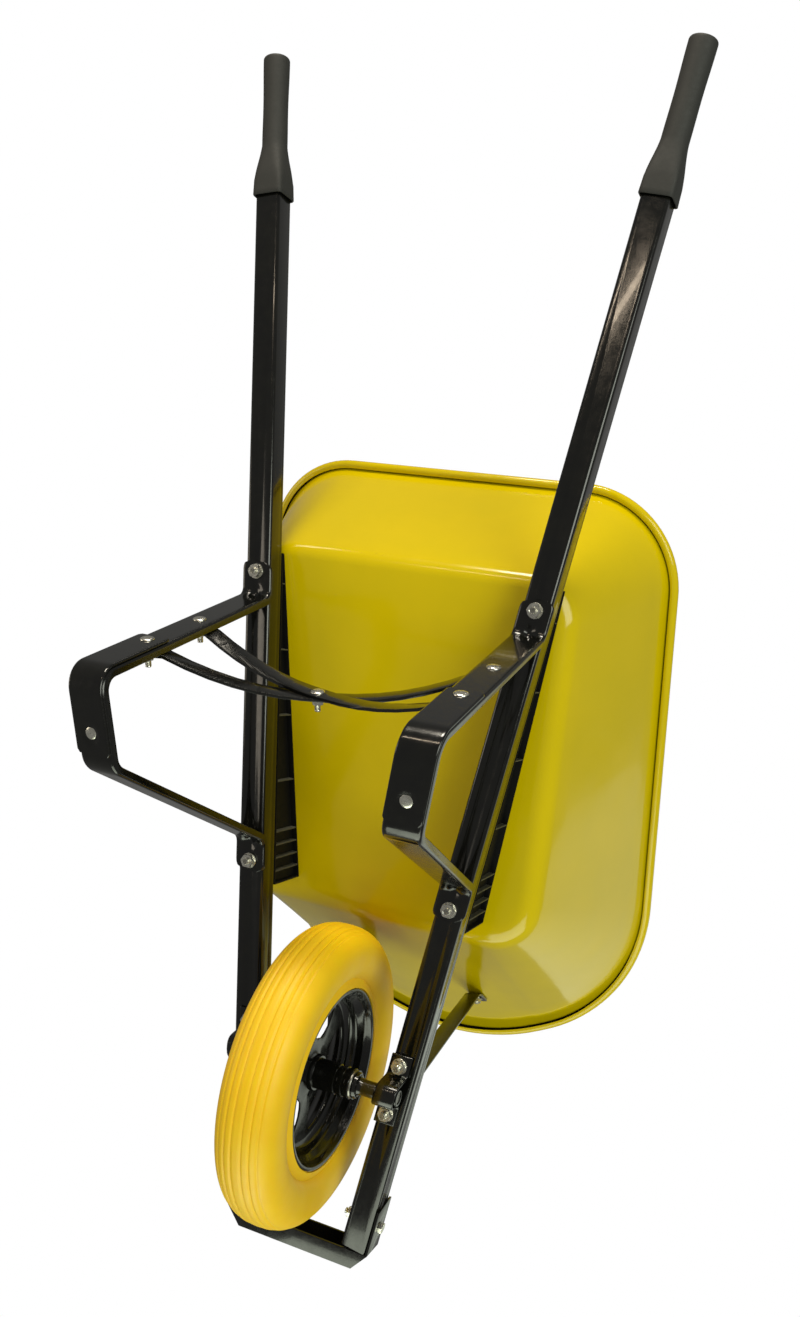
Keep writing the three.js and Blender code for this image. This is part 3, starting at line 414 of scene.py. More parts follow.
# ---------------------------------------------------------------- mesh making
@dataclass
class Workshop:
    """Turns point rings and CAD nodes into finished pieces in the row frame."""

    chassis: Chassis
    paint: Paintshop
    nodes: dict[str, bpy.types.Object]

    def piece(self, name: str, mesh: bpy.types.Mesh, finish: Finish, body: Body,
              stands_for: Sequence[str] = (), smooth: float = 35.0) -> bpy.types.Object:
        """Makes an object of a mesh, dresses it and lets it ride.

        Args:
            name: the piece's name.
            mesh: its mesh, already in the row frame.
            finish: its surface.
            body: the body that carries it.
            stands_for: CAD nodes that it replaces.
            smooth: edges flatter than this many degrees are shaded smooth.

        Returns:
            The object.
        """
        mesh.materials.clear()
        mesh.materials.append(self.paint.material(finish))
        made = placed(name, mesh)
        mesh.shade_smooth()
        mesh.set_sharp_from_angle(angle=math.radians(smooth))
        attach(made, body.value)
        if stands_for:
            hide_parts(*stands_for)
        LOG.info("%s rides on %s in %s", name, body.value, finish.name)
        return made

    def skin(self, rings: Sequence[Ring], closed: bool = False, capped: bool = True,
             space: Matrix | None = None) -> bpy.types.Mesh:
        """A mesh through rings of equal count.

        Args:
            rings: the rings, in chassis millimetres.
            closed: whether the last ring joins the first.
            capped: whether the end rings are filled.
            space: carries the rings into the row frame, if not the chassis matrix.

        Returns:
            The mesh, with its faces pointing out.
        """
        count = len(rings[0])
        places = [p for ring in rings for p in ring]
        spans = len(rings) if closed else len(rings) - 1
        faces = [
            (r * count + i, r * count + (i + 1) % count,
             (r + 1) % len(rings) * count + (i + 1) % count, (r + 1) % len(rings) * count + i)
            for r in range(spans) for i in range(count)]
        if capped and not closed:
            faces.append(tuple(range(count))[::-1])
            faces.append(tuple((len(rings) - 1) * count + i for i in range(count)))
        mesh = bpy.data.meshes.new("skin")
        mesh.from_pydata(places, [], faces)
        return self.settle(mesh, space or self.chassis.matrix)

    def joined(self, meshes: Sequence[bpy.types.Mesh]) -> bpy.types.Mesh:
        """One mesh that holds all the given ones.

        Args:
            meshes: meshes in the same space.

        Returns:
            The first mesh, with the others added to it.
        """
        with opened(meshes[0]) as work:
            for mesh in meshes[1:]:
                work.from_mesh(mesh)
        return meshes[0]

    def settle(self, mesh: bpy.types.Mesh, space: Matrix) -> bpy.types.Mesh:
        """Moves a mesh into place, welds its doubles and points its faces out.

        Args:
            mesh: the mesh to finish.
            space: its placing matrix.

        Returns:
            The same mesh.
        """
        mesh.transform(space)
        with opened(mesh) as work:
            bmesh.ops.remove_doubles(work, verts=work.verts, dist=WELD)
            bmesh.ops.recalc_face_normals(work, faces=work.faces)
            if work.calc_volume(signed=True) < 0:
                bmesh.ops.reverse_faces(work, faces=work.faces)
        return mesh

    def eased(self, node: str, width_mm: float, segments: int = 2, angle: float = 32.0) -> bpy.types.Mesh:
        """A copy of a CAD node's mesh with its flat faces joined and its sharp edges eased.

        Args:
            node: the CAD node to copy.
            width_mm: the width of the eased edge.
            segments: steps across the edge.
            angle: edges sharper than this many degrees are eased.

        Returns:
            The new mesh, in the row frame.
        """
        mesh = self.nodes[node].data.copy()
        with opened(mesh) as work:
            bmesh.ops.remove_doubles(work, verts=work.verts, dist=CAD_WELD)
            bmesh.ops.dissolve_limit(
                work, angle_limit=math.radians(FLAT_ANGLE), verts=work.verts, edges=work.edges)
        holder = placed("eased", mesh)
        bevelled(holder, width_mm, segments, angle).use_clamp_overlap = True
        return self.applied(holder)

    def applied(self, holder: bpy.types.Object) -> bpy.types.Mesh:
        """The evaluated mesh of an object, which is then removed.

        Args:
            holder: an object with modifiers.

        Returns:
            A plain mesh of the result.
        """
        evaluated = holder.evaluated_get(bpy.context.evaluated_depsgraph_get())
        result = bpy.data.meshes.new_from_object(evaluated)
        bpy.data.objects.remove(holder)
        return result


# ---------------------------------------------------------------- geometry nodes for what repeats
class GrownTree:
    """A geometry nodes tree with named inputs, whose result is realised and given one finish."""

    NAME = "grown"
    INPUTS: dict[str, str] = {}

    def __init__(self, shop: Workshop, finish: Finish) -> None:
        """Builds the tree.

        Args:
            shop: the workshop that paints and applies what the tree makes.
            finish: the surface that it gets.
        """
        self.shop = shop
        self.tree = bpy.data.node_groups.new(self.NAME, "GeometryNodeTree")
        sockets = self.tree.interface
        sockets.new_socket("Geometry", in_out="OUTPUT", socket_type="NodeSocketGeometry")
        self.keys = {
            name: sockets.new_socket(name, in_out="INPUT", socket_type=f"NodeSocket{kind}").identifier
            for name, kind in self.INPUTS.items()}
        grown = self.grow(put(self.tree, "NodeGroupInput").outputs)
        real = put(self.tree, "GeometryNodeRealizeInstances", {"Geometry": grown})
        dressed = put(self.tree, "GeometryNodeSetMaterial", {
            "Geometry": real.outputs["Geometry"], "Material": shop.paint.material(finish)})
        put(self.tree, "NodeGroupOutput", {"Geometry": dressed.outputs["Geometry"]})

    def grow(self, given: bpy.types.NodeOutputs) -> bpy.types.NodeSocket:
        """Adds the nodes between the inputs and the geometry that they give."""
        raise NotImplementedError

    def run(self, *values: object) -> bpy.types.Mesh:
        """Runs the tree once.

        Args:
            values: one for each input, in their order, in millimetres.

        Returns:
            The mesh, in millimetres.
        """
        holder = placed(self.NAME, bpy.data.meshes.new(self.NAME))
        modifier = holder.modifiers.new(self.NAME, "NODES")
        modifier.node_group = self.tree
        for key, value in zip(self.keys.values(), values):
            modifier[key] = value
        return self.shop.applied(holder)


class RibTree(GrownTree):
    """Stands a row of thin ribs whose height changes evenly, the first with its foot at the origin."""

    NAME = "rib_row"
    INPUTS = {"Count": "Int", "Stride": "Vector", "Width": "Float", "Thickness": "Float",
              "Height": "Float", "Change": "Float"}

    def grow(self, given: bpy.types.NodeOutputs) -> bpy.types.NodeSocket:
        """Instances a unit block on a line, its height read from its index.

        Args:
            given: the tree's input sockets.

        Returns:
            The geometry socket.
        """
        tree = self.tree
        line = put(tree, "GeometryNodeMeshLine", {"Count": given["Count"], "Offset": given["Stride"]})
        size = put(tree, "ShaderNodeCombineXYZ", {"X": given["Width"], "Y": given["Thickness"], "Z": 1.0})
        block = put(tree, "GeometryNodeMeshCube", {"Size": size.outputs["Vector"]})
        raised = put(tree, "GeometryNodeTransform", {
            "Geometry": block.outputs["Mesh"], "Translation": (0.0, 0.0, 0.5)})
        index = put(tree, "GeometryNodeInputIndex").outputs["Index"]
        grown = put(tree, "ShaderNodeMath", {0: index, 1: given["Change"], 2: given["Height"]},
                    operation="MULTIPLY_ADD")
        scale = put(tree, "ShaderNodeCombineXYZ", {"X": 1.0, "Y": 1.0, "Z": grown.outputs[0]})
        return put(tree, "GeometryNodeInstanceOnPoints", {
            "Points": line.outputs["Mesh"], "Instance": raised.outputs["Geometry"],
            "Scale": scale.outputs["Vector"]}).outputs["Instances"]


class ThreadTree(GrownTree):
    """Winds a screw thread along a shank that rises from the origin."""

    NAME = "screw_thread"
    INPUTS = {"Radius": "Float", "Pitch": "Float", "Length": "Float", "Depth": "Float"}

    def grow(self, given: bpy.types.NodeOutputs) -> bpy.types.NodeSocket:
        """Sweeps a ridge along a helix and joins it to a plain core.

        Args:
            given: the tree's input sockets.

        Returns:
            The geometry socket.
        """
        tree = self.tree
        turns = put(tree, "ShaderNodeMath", {0: given["Length"], 1: given["Pitch"]}, operation="DIVIDE")
        helix = put(tree, "GeometryNodeCurveSpiral", {
            "Resolution": 20, "Rotations": turns.outputs[0], "Start Radius": given["Radius"],
            "End Radius": given["Radius"], "Height": given["Length"]})
        ridge = put(tree, "GeometryNodeCurvePrimitiveCircle", {"Resolution": 3, "Radius": given["Depth"]})
        wound = put(tree, "GeometryNodeCurveToMesh", {
            "Curve": helix.outputs["Curve"], "Profile Curve": ridge.outputs["Curve"], "Fill Caps": True})
        core = put(tree, "GeometryNodeMeshCylinder", {
            "Vertices": 28, "Radius": given["Radius"], "Depth": given["Length"]})
        half = put(tree, "ShaderNodeMath", {0: given["Length"], 1: 2.0}, operation="DIVIDE")
        rise = put(tree, "ShaderNodeCombineXYZ", {"Z": half.outputs[0]})
        seated = put(tree, "GeometryNodeTransform", {
            "Geometry": core.outputs["Mesh"], "Translation": rise.outputs["Vector"]})
        both = put(tree, "GeometryNodeJoinGeometry")
        tree.links.new(wound.outputs["Mesh"], both.inputs[0])
        tree.links.new(seated.outputs["Geometry"], both.inputs[0])
        return both.outputs["Geometry"]


# ---------------------------------------------------------------- curves and sections
def unit(vector: Vector) -> Vector:
    """The vector at length one."""
    return vector.normalized()


def lerp(low: float, high: float, share: float) -> float:
    """The value a share of the way from low to high."""
    return low + (high - low) * share


def smoothstep(low: float, high: float, value: float) -> float:
    """A smooth ramp from 0 at low to 1 at high."""
    share = min(1.0, max(0.0, (value - low) / (high - low)))
    return share * share * (3 - 2 * share)


@dataclass(frozen=True)
class Stop:
    """A point on a bent path, with the path's left-hand normal and the distance run so far."""

    at: Vector
    normal: Vector
    run: float


def bent_path(corners: Sequence[tuple[float, float, float]], stride: float, turns: int = 10) -> list[Stop]:
    """A polyline with rounded corners, as evenly laid stops.

    Args:
        corners: (along, up, corner radius) of each corner, the ends' radii unused.
        stride: the longest step on the straights, in millimetres.
        turns: steps round each corner.

    Returns:
        The stops, from the first corner to the last.
    """
    spots = [Vector((a, b)) for a, b, _ in corners]

    def left(way: Vector) -> Vector:
        """The direction on the left of a way."""
        return Vector((-way.y, way.x))

    points: list[tuple[Vector, Vector]] = []
    for i, here in enumerate(spots):
        into = unit(here - spots[i - 1]) if i else None
        out = unit(spots[i + 1] - here) if i + 1 < len(spots) else None
        if into is None or out is None:
            points.append((here, left(out or into)))
            continue
        turn = math.atan2(into.x * out.y - into.y * out.x, into.dot(out))
        radius = corners[i][2]
        start = here - into * (radius * math.tan(abs(turn) / 2))
        centre = start + left(into) * math.copysign(radius, turn)
        for k in range(turns + 1):
            normal = Matrix.Rotation(turn * k / turns, 2) @ left(into)
            points.append((centre - normal * math.copysign(radius, turn), normal))
    stops: list[Stop] = []
    run = 0.0
    for (a, na), (b, nb) in zip(points, points[1:]):
        length = (b - a).length
        steps = max(1, math.ceil(length / stride))
        for k in range(steps):
            share = k / steps
            stops.append(Stop(a.lerp(b, share), unit(na.lerp(nb, share)), run + length * k / steps))
        run += length
    stops.append(Stop(points[-1][0], points[-1][1], run))
    return stops


def arc(centre: tuple[float, float], radius: float, start: float, end: float, steps: int) -> list[Vector]:
    """Points of a circular arc, with angles in degrees."""
    angles = (math.radians(lerp(start, end, k / steps)) for k in range(steps + 1))
    return [Vector((centre[0] + radius * math.cos(a), centre[1] + radius * math.sin(a))) for a in angles]


def channel_section(half: float, lip: float, thick: float, edge: float, across: int = 12) -> list[Vector]:
    """A channel's section (across, outward): a web with two lips that reach inwards.

    Args:
        half: half its outside width.
        lip: the outside depth of the lips.
        thick: the sheet's thickness.
        edge: the outside radius where web and lips meet.
        across: steps over the web, outside and inside.

    Returns:
        The section's points, anticlockwise.
    """
    depth = max(lip, edge + 0.2)
    inner = max(0.4, edge - thick)
    tip = thick * 0.35
    outside = half - edge
    inside = half - thick - inner
    over = [Vector((lerp(outside, -outside, k / across), 0.0)) for k in range(1, across)]
    under = [Vector((lerp(-inside, inside, k / across), -thick)) for k in range(1, across)]
    return [
        Vector((half, tip - depth)), *arc((outside, -edge), edge, 0, 90, 5), *over,
        *arc((-outside, -edge), edge, 90, 180, 5), Vector((-half, tip - depth)),
        Vector((tip - half, -depth)), Vector((-half + thick - tip, -depth)),
        Vector((-half + thick, tip - depth)),
        *arc((-inside, -thick - inner), inner, 180, 90, 3), *under,
        *arc((inside, -thick - inner), inner, 90, 0, 3), Vector((half - thick, tip - depth)),
        Vector((half - thick + tip, -depth)), Vector((half - tip, -depth))]


def sleeve_rings(profile: Sequence[tuple[float, float]], segments: int, centre: Vector) -> list[Ring]:
    """Rings of a lathe about X, one ring for each spoke.

    Args:
        profile: closed loop of (x, radius).
        segments: spokes round the axis.
        centre: a point on the axis.

    Returns:
        One ring for each spoke, to be joined first to last.
    """
    rings = []
    for k in range(segments):
        a = 2 * math.pi * k / segments
        spoke = Vector((0, math.cos(a), math.sin(a)))
        rings.append([centre + ACROSS * x + spoke * r for x, r in profile])
    return rings


# ---------------------------------------------------------------- tray
@dataclass(frozen=True)
class TrayPlan:
    """One outline of the tray, a sloping plane with rounded corners, all in millimetres."""

    half_rear: float
    half_front: float
    rear: float
    front: float
    bow: float
    apex: float
    corner_rear: float
    corner_front: float
    height: float
    slope: float
    front_flat: float = 118.0
    datum: float = 448.0

    def level(self, station: float) -> float:
        """The plane's height at a station."""
        return self.height + self.slope * (station - self.datum)

    def outline(self, inset: float, steps: int) -> Ring:
        """Points round the outline, anticlockwise from above, from the rear left corner.

        Args:
            inset: how far inside the outline to stay.
            steps: steps round each corner.

        Returns:
            The points, on the plane.
        """
        corners = [
            (self.half_rear - inset, self.rear - inset, self.corner_rear - inset),
            (inset - self.half_rear, self.rear - inset, self.corner_rear - inset),
            (inset - self.half_front, self.front + inset, self.corner_front - inset),
            (0.0, self.front - self.bow + inset, self.apex),
            (self.half_front - inset, self.front + inset, self.corner_front - inset)]
        spots = [Vector((x, y)) for x, y, _ in corners]
        points: list[Vector] = []
        for i, here in enumerate(spots):
            radius = corners[i][2]
            if not radius:
                flat = (self.front_flat * (2 * k / steps - 1) for k in range(steps + 1))
                points += [Vector((x, here.y)) for x in flat]
                continue
            into = here - spots[i - 1]
            out = spots[(i + 1) % len(spots)] - here
            longest = min(into.length, out.length) * 0.49
            turn = into.angle(out)
            into, out = unit(into), unit(out)
            reach = min(radius * math.tan(turn / 2), longest)
            bend = reach / math.tan(turn / 2)
            normal = Vector((-into.y, into.x))
            centre = here - into * reach + normal * bend
            for k in range(steps + 1):
                points.append(centre - (Matrix.Rotation(turn * k / steps, 2) @ normal) * bend)
        return [Vector((p.x, p.y, self.level(p.y))) for p in points]


@dataclass
class Tray:
    """The pressed steel tray, from its floor up to a rim rolled over into a tube."""

    shop: Workshop
    floor: TrayPlan = TrayPlan(242, 236, 702, 186, 0, 0, 62, 70, 61, -0.152)
    rim: TrayPlan = TrayPlan(336.5, 347, 861, 30.5, 180, 3000, 149, 305, 354, -0.346)
    steel: float = 1.6
    bead: float = 7.0
    crease_rear: float = 16.0
    crease_side: float = 25.0
    steps: int = 21
    curl_end: float = -130.0
    curl_sway: float = 8.0

    def build(self) -> None:
        """Builds the tray as one closed sheet and dresses it."""
        outside, curl = self.face(0.0), self.curl()
        rings = [*outside, *curl, *self.face(self.steel)[::-1]]
        made = self.shop.piece("tray_shell", self.shop.skin(rings), YELLOW_ENAMEL, Body.FRAME, ["tray"],
                               smooth=50)
        # The faces inside the roll take the near-black painted shade finish, which darkens the slit under
        # the rim.
        made.data.materials.append(self.shop.paint.material(ROLL_SHADOW))
        count = len(rings[0])
        start, end = len(outside) + 1, len(outside) + len(curl) // 2
        for polygon in made.data.polygons[start * count : end * count]:
            polygon.material_index = 1
        LOG.info("tray: pressed shell with a rolled rim")

    @property
    def low(self) -> Ring:
        """The outside corner line between floor and walls."""
        return self.floor.outline(0, self.steps)

    @property
    def top(self) -> Ring:
        """The outside line where the walls meet the rim."""
        return self.rim.outline(2 * self.bead, self.steps)

    def outwards(self) -> Ring:
        """The outward direction in the rim's plane, at each point of the top line.

        Returns:
            One unit vector for each point.
        """
        top = self.top
        upright = unit(Vector((0, -self.rim.slope, 1)))
        return [unit((top[(i + 1) % len(top)] - top[i - 1]).cross(upright)) for i in range(len(top))]

    def face(self, inside: float) -> list[Ring]:
        """Rings from the middle of the floor up to just below the rim, on one face of the sheet.

        Args:
            inside: how far inside the outer face to lie.

        Returns:
            The rings, lowest first.
        """
        low, top, normals = self.low, self.top, self.outwards()
        rings: list[Ring] = []
        inward, crease = [], []
        for n in normals:
            flat = unit(Vector((-n.x, -n.y, 0)))
            inward.append(Vector((flat.x, flat.y, self.floor.slope * flat.y)))
            crease.append(lerp(self.crease_side, self.crease_rear, smoothstep(0.5, 0.95, n.y)))
        for share in (0.15, 0.5, 0.8):
            rings.append([
                Vector((p.x * share, lerp(self.floor.datum, p.y, share), 0)) for p in low])
            for p in rings[-1]:
                p.z = self.floor.level(p.y) + inside
        for k in range(9):
            t = k / 8
            ring = []
            for p, q, side, reach in zip(low, top, inward, crease):
                a = p + side * reach
                b = p + unit(q - p) * reach
                point = a * (1 - t) ** 2 + p * (2 * t * (1 - t)) + b * t * t
                level = Vector((side.x, side.y, 0)) * (inside * t)
                ring.append(point + level + UP * (inside * (1 - t)))
            rings.append(ring)
        for k in range(1, 12):
            share = 0.1 + 0.85 * k / 12
            rings.append([p.lerp(q, share) - n * inside for p, q, n in zip(low, top, normals)])
        return rings

    def curl(self) -> list[Ring]:
        """Rings over the rolled rim, from the wall's outer face round the roll's inner and outer skins.

        Returns:
            The rings, in the order of the sheet's section.
        """
        top, normals = self.top, self.outwards()
        upright = unit(Vector((0, -self.rim.slope, 1)))
        outer = self.bead - 0.05
        inner = outer - self.steel

        def ring(radius: float, share: float) -> Ring:
            """The ring at a radius from the roll's centre, a share of the way round it."""
            made = []
            for i, (p, n) in enumerate(zip(top, normals)):
                sway = self.curl_sway * noise(p * 0.012)
                angle = math.radians(lerp(180, self.curl_end + sway, share))
                centre = p + n * (self.bead - self.steel) - upright * self.bead
                across, rise = radius * math.cos(angle), radius * math.sin(angle)
                made.append(centre + n * across + upright * rise)
            return made

        shares = [k / 18 for k in range(19)]
        return [*(ring(inner, s) for s in shares), *(ring(outer, s) for s in reversed(shares))]


# ---------------------------------------------------------------- legs, shoes and cross braces
@dataclass
class Undercarriage:
    """The bent channel legs with their shoes, and the two bowed braces that cross between them."""

    shop: Workshop
    steel: float = 3.0
    clearance: float = 0.9
    lip: float = 11.0
    edge: float = 4.2
    tilt: float = 0.061
    rear_bolt: float = 658.7
    front_bolt: float = 254.4
    tab_end: float = 14.0
    tab_round: float = 11.0
    rear_knee: float = 626.0
    front_knee: float = 284.0
    foot_rear: float = 514.0
    foot_front: float = 400.0
    knee_radius: float = 12.0
    foot_radius: float = 28.0
    shoe_steel: float = 4.0
    shoe_front: float = 419.0
    shoe_tab: float = 16.0
    shoe_round: float = 3.0
    shoe_edge: float = 2.4
    dish: float = 1.3
    dish_edge: tuple[float, float] = (8.5, 12.0)
    lower_bolt: float = 550.0
    dimple: float = 5.0
    dimple_long: float = 13.0
    dimple_wide: float = 6.5

    def build(self) -> None:
        """Builds both legs, both shoes and the braces."""
        for side in Side:
            self.leg(side)
            self.shoe(side)
        for node in ("cross_brace_upper", "cross_brace_lower"):
            mesh = self.shop.eased(node, 1.6, segments=3, angle=50)
            self.shop.piece(f"{node}_strap", mesh, BLACK_ENAMEL, Body.FRAME, [node], smooth=34)
        LOG.info("undercarriage: two channel legs, two shoes, two bowed braces")

    @property
    def half(self) -> float:
        """Half the outside width of the channel, which straddles the splayed tube."""
        body = self.shop.chassis
        return (body.tube + 2 * self.clearance) / math.cos(math.atan(body.splay)) / 2 + self.steel

    @property
    def tab_level(self) -> float:
        """Height of the tabs' outer face under the tube."""
        return -(self.shop.chassis.tube / 2 + self.shop.chassis.gap + self.steel)

    def foot_level(self, station: float) -> float:
        """Height of the foot's outer face, which lies inside the shoe."""
        body = self.shop.chassis
        return body.ground(station) + (self.shoe_steel + body.gap) / math.cos(body.pitch)

    def spot(self, side: Side, across: float, at: Vector) -> Vector:
        """A point of the leg, leaning out by depth and following the handle.

        Args:
            side: which leg.
            across: millimetres across the strap.
            at: station and height.

        Returns:
            The chassis point.
        """
        body = self.shop.chassis
        reach = body.handle_x(at.x) - self.tilt * (at.y + body.tube / 2)
        return Vector((across + side.value * reach, at.x, at.y))

    def strap(self, side: Side, stops: Sequence[Stop],
              section: Callable[[Stop], list[Vector]]) -> list[Ring]:
        """Rings of a strap along a path.

        Args:
            side: which leg it belongs to.
            stops: the path.
            section: gives each stop its section of (across, outward) points.

        Returns:
            The rings.
        """
        return [[self.spot(side, p.x, s.at + s.normal * p.y) for p in section(s)] for s in stops]

    def leg(self, side: Side) -> None:
        """Builds one leg, with rounded tabs and a pressed dimple at its rear knee.

        Args:
            side: which of the two.
        """
        foot = self.foot_level
        stops = bent_path([
            (self.rear_bolt + self.tab_end, self.tab_level, 0),
            (self.rear_knee, self.tab_level, self.knee_radius),
            (self.foot_rear, foot(self.foot_rear), self.foot_radius),
            (self.foot_front, foot(self.foot_front), self.foot_radius),
            (self.front_knee, self.tab_level, self.knee_radius),
            (self.front_bolt - self.tab_end, self.tab_level, 0)], stride=4.0)
        length = stops[-1].run
        knees = [self.rear_bolt + self.tab_end - self.rear_knee, 0]
        knees[1] = length - (self.front_knee - self.front_bolt + self.tab_end)

        def section(stop: Stop) -> list[Vector]:
            """The channel's section at a stop, narrowed and flattened towards the tabs."""
            end = min(stop.run, length - stop.run)
            short = self.tab_round - min(end, self.tab_round)
            half = self.half - self.tab_round + math.sqrt(max(self.tab_round**2 - short**2, 1.0))
            lip = lerp(self.steel, self.lip, smoothstep(2.0, 13.0, end))
            pressed = max(math.exp(-(((stop.run - k) / self.dimple_long) ** 2)) for k in knees)
            shape = channel_section(half, lip, self.steel, min(self.edge, lip * 0.8))
            for p in shape:
                if p.y > -self.steel - 0.5:
                    p.y -= self.dimple * pressed * math.exp(-((p.x / self.dimple_wide) ** 2))
            return shape

        rings = self.strap(side, stops, section)
        self.shop.piece(f"leg_strap_{side.label}", self.shop.skin(rings), BLACK_ENAMEL, Body.FRAME,
                        [f"leg_{side.label}"], smooth=40)

    def shoe(self, side: Side) -> None:
        """Builds the shoe that wraps the foot and runs up to the lower brace bolt.

        Args:
            side: which of the two.
        """
        knee = Vector((self.rear_knee, self.tab_level))
        foot = Vector((self.foot_rear, self.foot_level(self.foot_rear)))
        fall = unit(foot - knee)
        tab = knee + fall * ((self.lower_bolt - knee.x) / fall.x - self.shoe_tab)
        stops = bent_path([
            (tab.x, tab.y, 0), (foot.x, foot.y, self.foot_radius),
            (self.shoe_front, self.foot_level(self.shoe_front), 0)], stride=4.0)
        length = stops[-1].run
        body = self.shop.chassis
        bolt = Vector((body.foot_station, self.foot_level(body.foot_station)))

        def section(stop: Stop) -> list[Vector]:
            """The shoe's section at a stop, with a dish pressed round its bolt."""
            end = min(stop.run, length - stop.run)
            short = self.shoe_round - min(end, self.shoe_round)
            half = self.half - self.shoe_round + math.sqrt(max(self.shoe_round**2 - short**2, 0.2))
            shape = channel_section(half, self.shoe_steel, self.shoe_steel, self.shoe_edge, across=24)
            for p in shape:
                p.y += body.gap + self.shoe_steel
                reach = math.hypot(p.x, (stop.at - bolt).length)
                if p.y > body.gap + self.shoe_steel - 0.1:
                    p.y -= self.dish * (1 - smoothstep(*self.dish_edge, reach))
            return shape

        rings = self.strap(side, stops, section)
        self.shop.piece(f"shoe_strap_{side.label}", self.shop.skin(rings), BLACK_ENAMEL, Body.FRAME,
                        [f"leg_shoe_{side.label}"], smooth=40)


# ---------------------------------------------------------------- handles, grips and risers
@dataclass
class Handles:
    """The splayed square tubes, the grips pushed over their ends and the ribbed risers on them."""

    shop: Workshop
    tip: float = 1389.0
    grip_length: float = 201.0
    grip_diameter: float = 35.5
    skirt: float = 46.0
    socket: float = 32.0
    flare_start: float = 22.0
    flare_end: float = 74.0
    riser_front: float = 217.5
    riser_rear: float = 690.0
    riser_skin: float = 1.8
    riser_recess: float = 8.0
    rib_steel: float = 1.7
    rib_rows: tuple[tuple[float, float, int], ...] = ((364.0, 94.3, 4), (236.0, 18.6, 4))

    def build(self) -> None:
        """Builds both sides."""
        self.ribs = RibTree(self.shop, SCUFFED_RIB)
        for side in Side:
            tube = self.shop.eased(f"handle_{side.label}", 0.5, segments=2, angle=60)
            self.shop.piece(f"handle_tube_{side.label}", tube, BLACK_ENAMEL, Body.FRAME,
                            [f"handle_{side.label}"], smooth=46)
            self.grip(side)
            self.riser(side)
        LOG.info("handles: two tubes, two grips, two ribbed risers")

    def space(self, side: Side) -> Matrix:
        """A handle's own frame, with y along the tube.

        Args:
            side: which of the two.

        Returns:
            The matrix that carries it into the row frame.
        """
        body = self.shop.chassis
        return (body.matrix @ Matrix.Translation((side.value * body.handle_half, 0, 0))
                @ Matrix.Rotation(-side.value * math.atan(body.splay), 4, "Z"))

    def ring(self, half: float, power: float, along: float, count: int = 64) -> Ring:
        """A rounded square drawn as a superellipse.

        Args:
            half: half its width.
            power: how square it is, a circle at 2.
            along: its distance along the tube.
            count: how many points it has.

        Returns:
            The ring.
        """
        made = []
        for k in range(count):
            a = 2 * math.pi * (k + 0.5) / count
            c, s = math.cos(a), math.sin(a)
            r = half / (abs(c) ** power + abs(s) ** power) ** (1 / power)
            made.append(Vector((-r * c, along, r * s)))
        return made

    def grip(self, side: Side) -> None:
        """Builds one moulded grip: a square skirt that swells into a round, slightly waisted handle.

        Args:
            side: which of the two.
        """
        half, skirt, length = self.grip_diameter / 2, self.skirt / 2, self.grip_length
        rings = [self.ring(skirt - 2.4, 12, self.socket), self.ring(skirt - 2.4, 12, 0.6)]
        rings += [self.ring(skirt - 1.6, 10, 0.0), self.ring(skirt - 0.5, 9, 0.0), self.ring(skirt, 9, 0.9)]
        rings += [self.ring(skirt - 0.5 * k / 3, 9 - 0.4 * k, self.flare_start * k / 3) for k in (1, 2, 3)]
        for k in range(1, 15):
            share = k / 14
            swell = smoothstep(0, 1, share)
            power = lerp(7.8, 2.0, share**0.45)
            along = lerp(self.flare_start, self.flare_end, share)
            rings.append(self.ring(lerp(skirt - 0.5, half + 0.4, swell), power, along))
        for k in range(1, 12):
            share = k / 11
            waist = 0.7 * math.sin(math.pi * share) ** 2
            along = lerp(self.flare_end, length - 9, share)
            rings.append(self.ring(lerp(half + 0.4, half + 1.1, share) - waist, 2, along))
        for k in range(7):
            a = math.pi / 2 * k / 6
            rings.append(self.ring(half - 2.9 + 4.0 * math.cos(a), 2, length - 4 + 4 * math.sin(a)))
        rings += [self.ring(half * share, 2, length - 0.4 + 0.4 * share) for share in (0.7, 0.35, 0.08)]
        along = self.tip / math.cos(math.atan(self.shop.chassis.splay)) - length
        space = self.space(side) @ Matrix.Translation((0, along, 0))
        self.shop.piece(f"grip_sleeve_{side.label}", self.shop.skin(rings, space=space), GRIP_PVC,
                        Body.FRAME, [f"grip_{side.label}"], smooth=50)

    def wedge(self, side: Side, span: tuple[float, float], half: float,
              low: Callable[[float], float], high: Callable[[float], float]) -> bpy.types.Mesh:
        """A block along the handle between two heights.

        Args:
            side: the side it lies on.
            span: its first and last stations.
            half: half its width.
            low: its lower height at a station.
            high: its upper height at a station.

        Returns:
            The block's mesh, in the row frame.
        """
        rings = []
        for y in span:
            x = side.value * self.shop.chassis.handle_x(y)
            rings.append([Vector((x + a * half, y, z)) for a, z in (
                (-1, low(y)), (1, low(y)), (1, high(y)), (-1, high(y)))])
        return self.shop.skin(rings)

    def riser(self, side: Side) -> None:
        """Builds one riser: a thin web between two flanges, with ribs repeated by geometry nodes.

        Args:
            side: which of the two.
        """
        body, skin = self.shop.chassis, self.riser_skin
        half = body.tube / 2 / math.cos(math.atan(body.splay))
        base = body.tube / 2 + body.gap

        def top(y: float) -> float:
            """The riser's top at a station, just under the tray's floor."""
            return Tray.floor.level(y) - body.gap

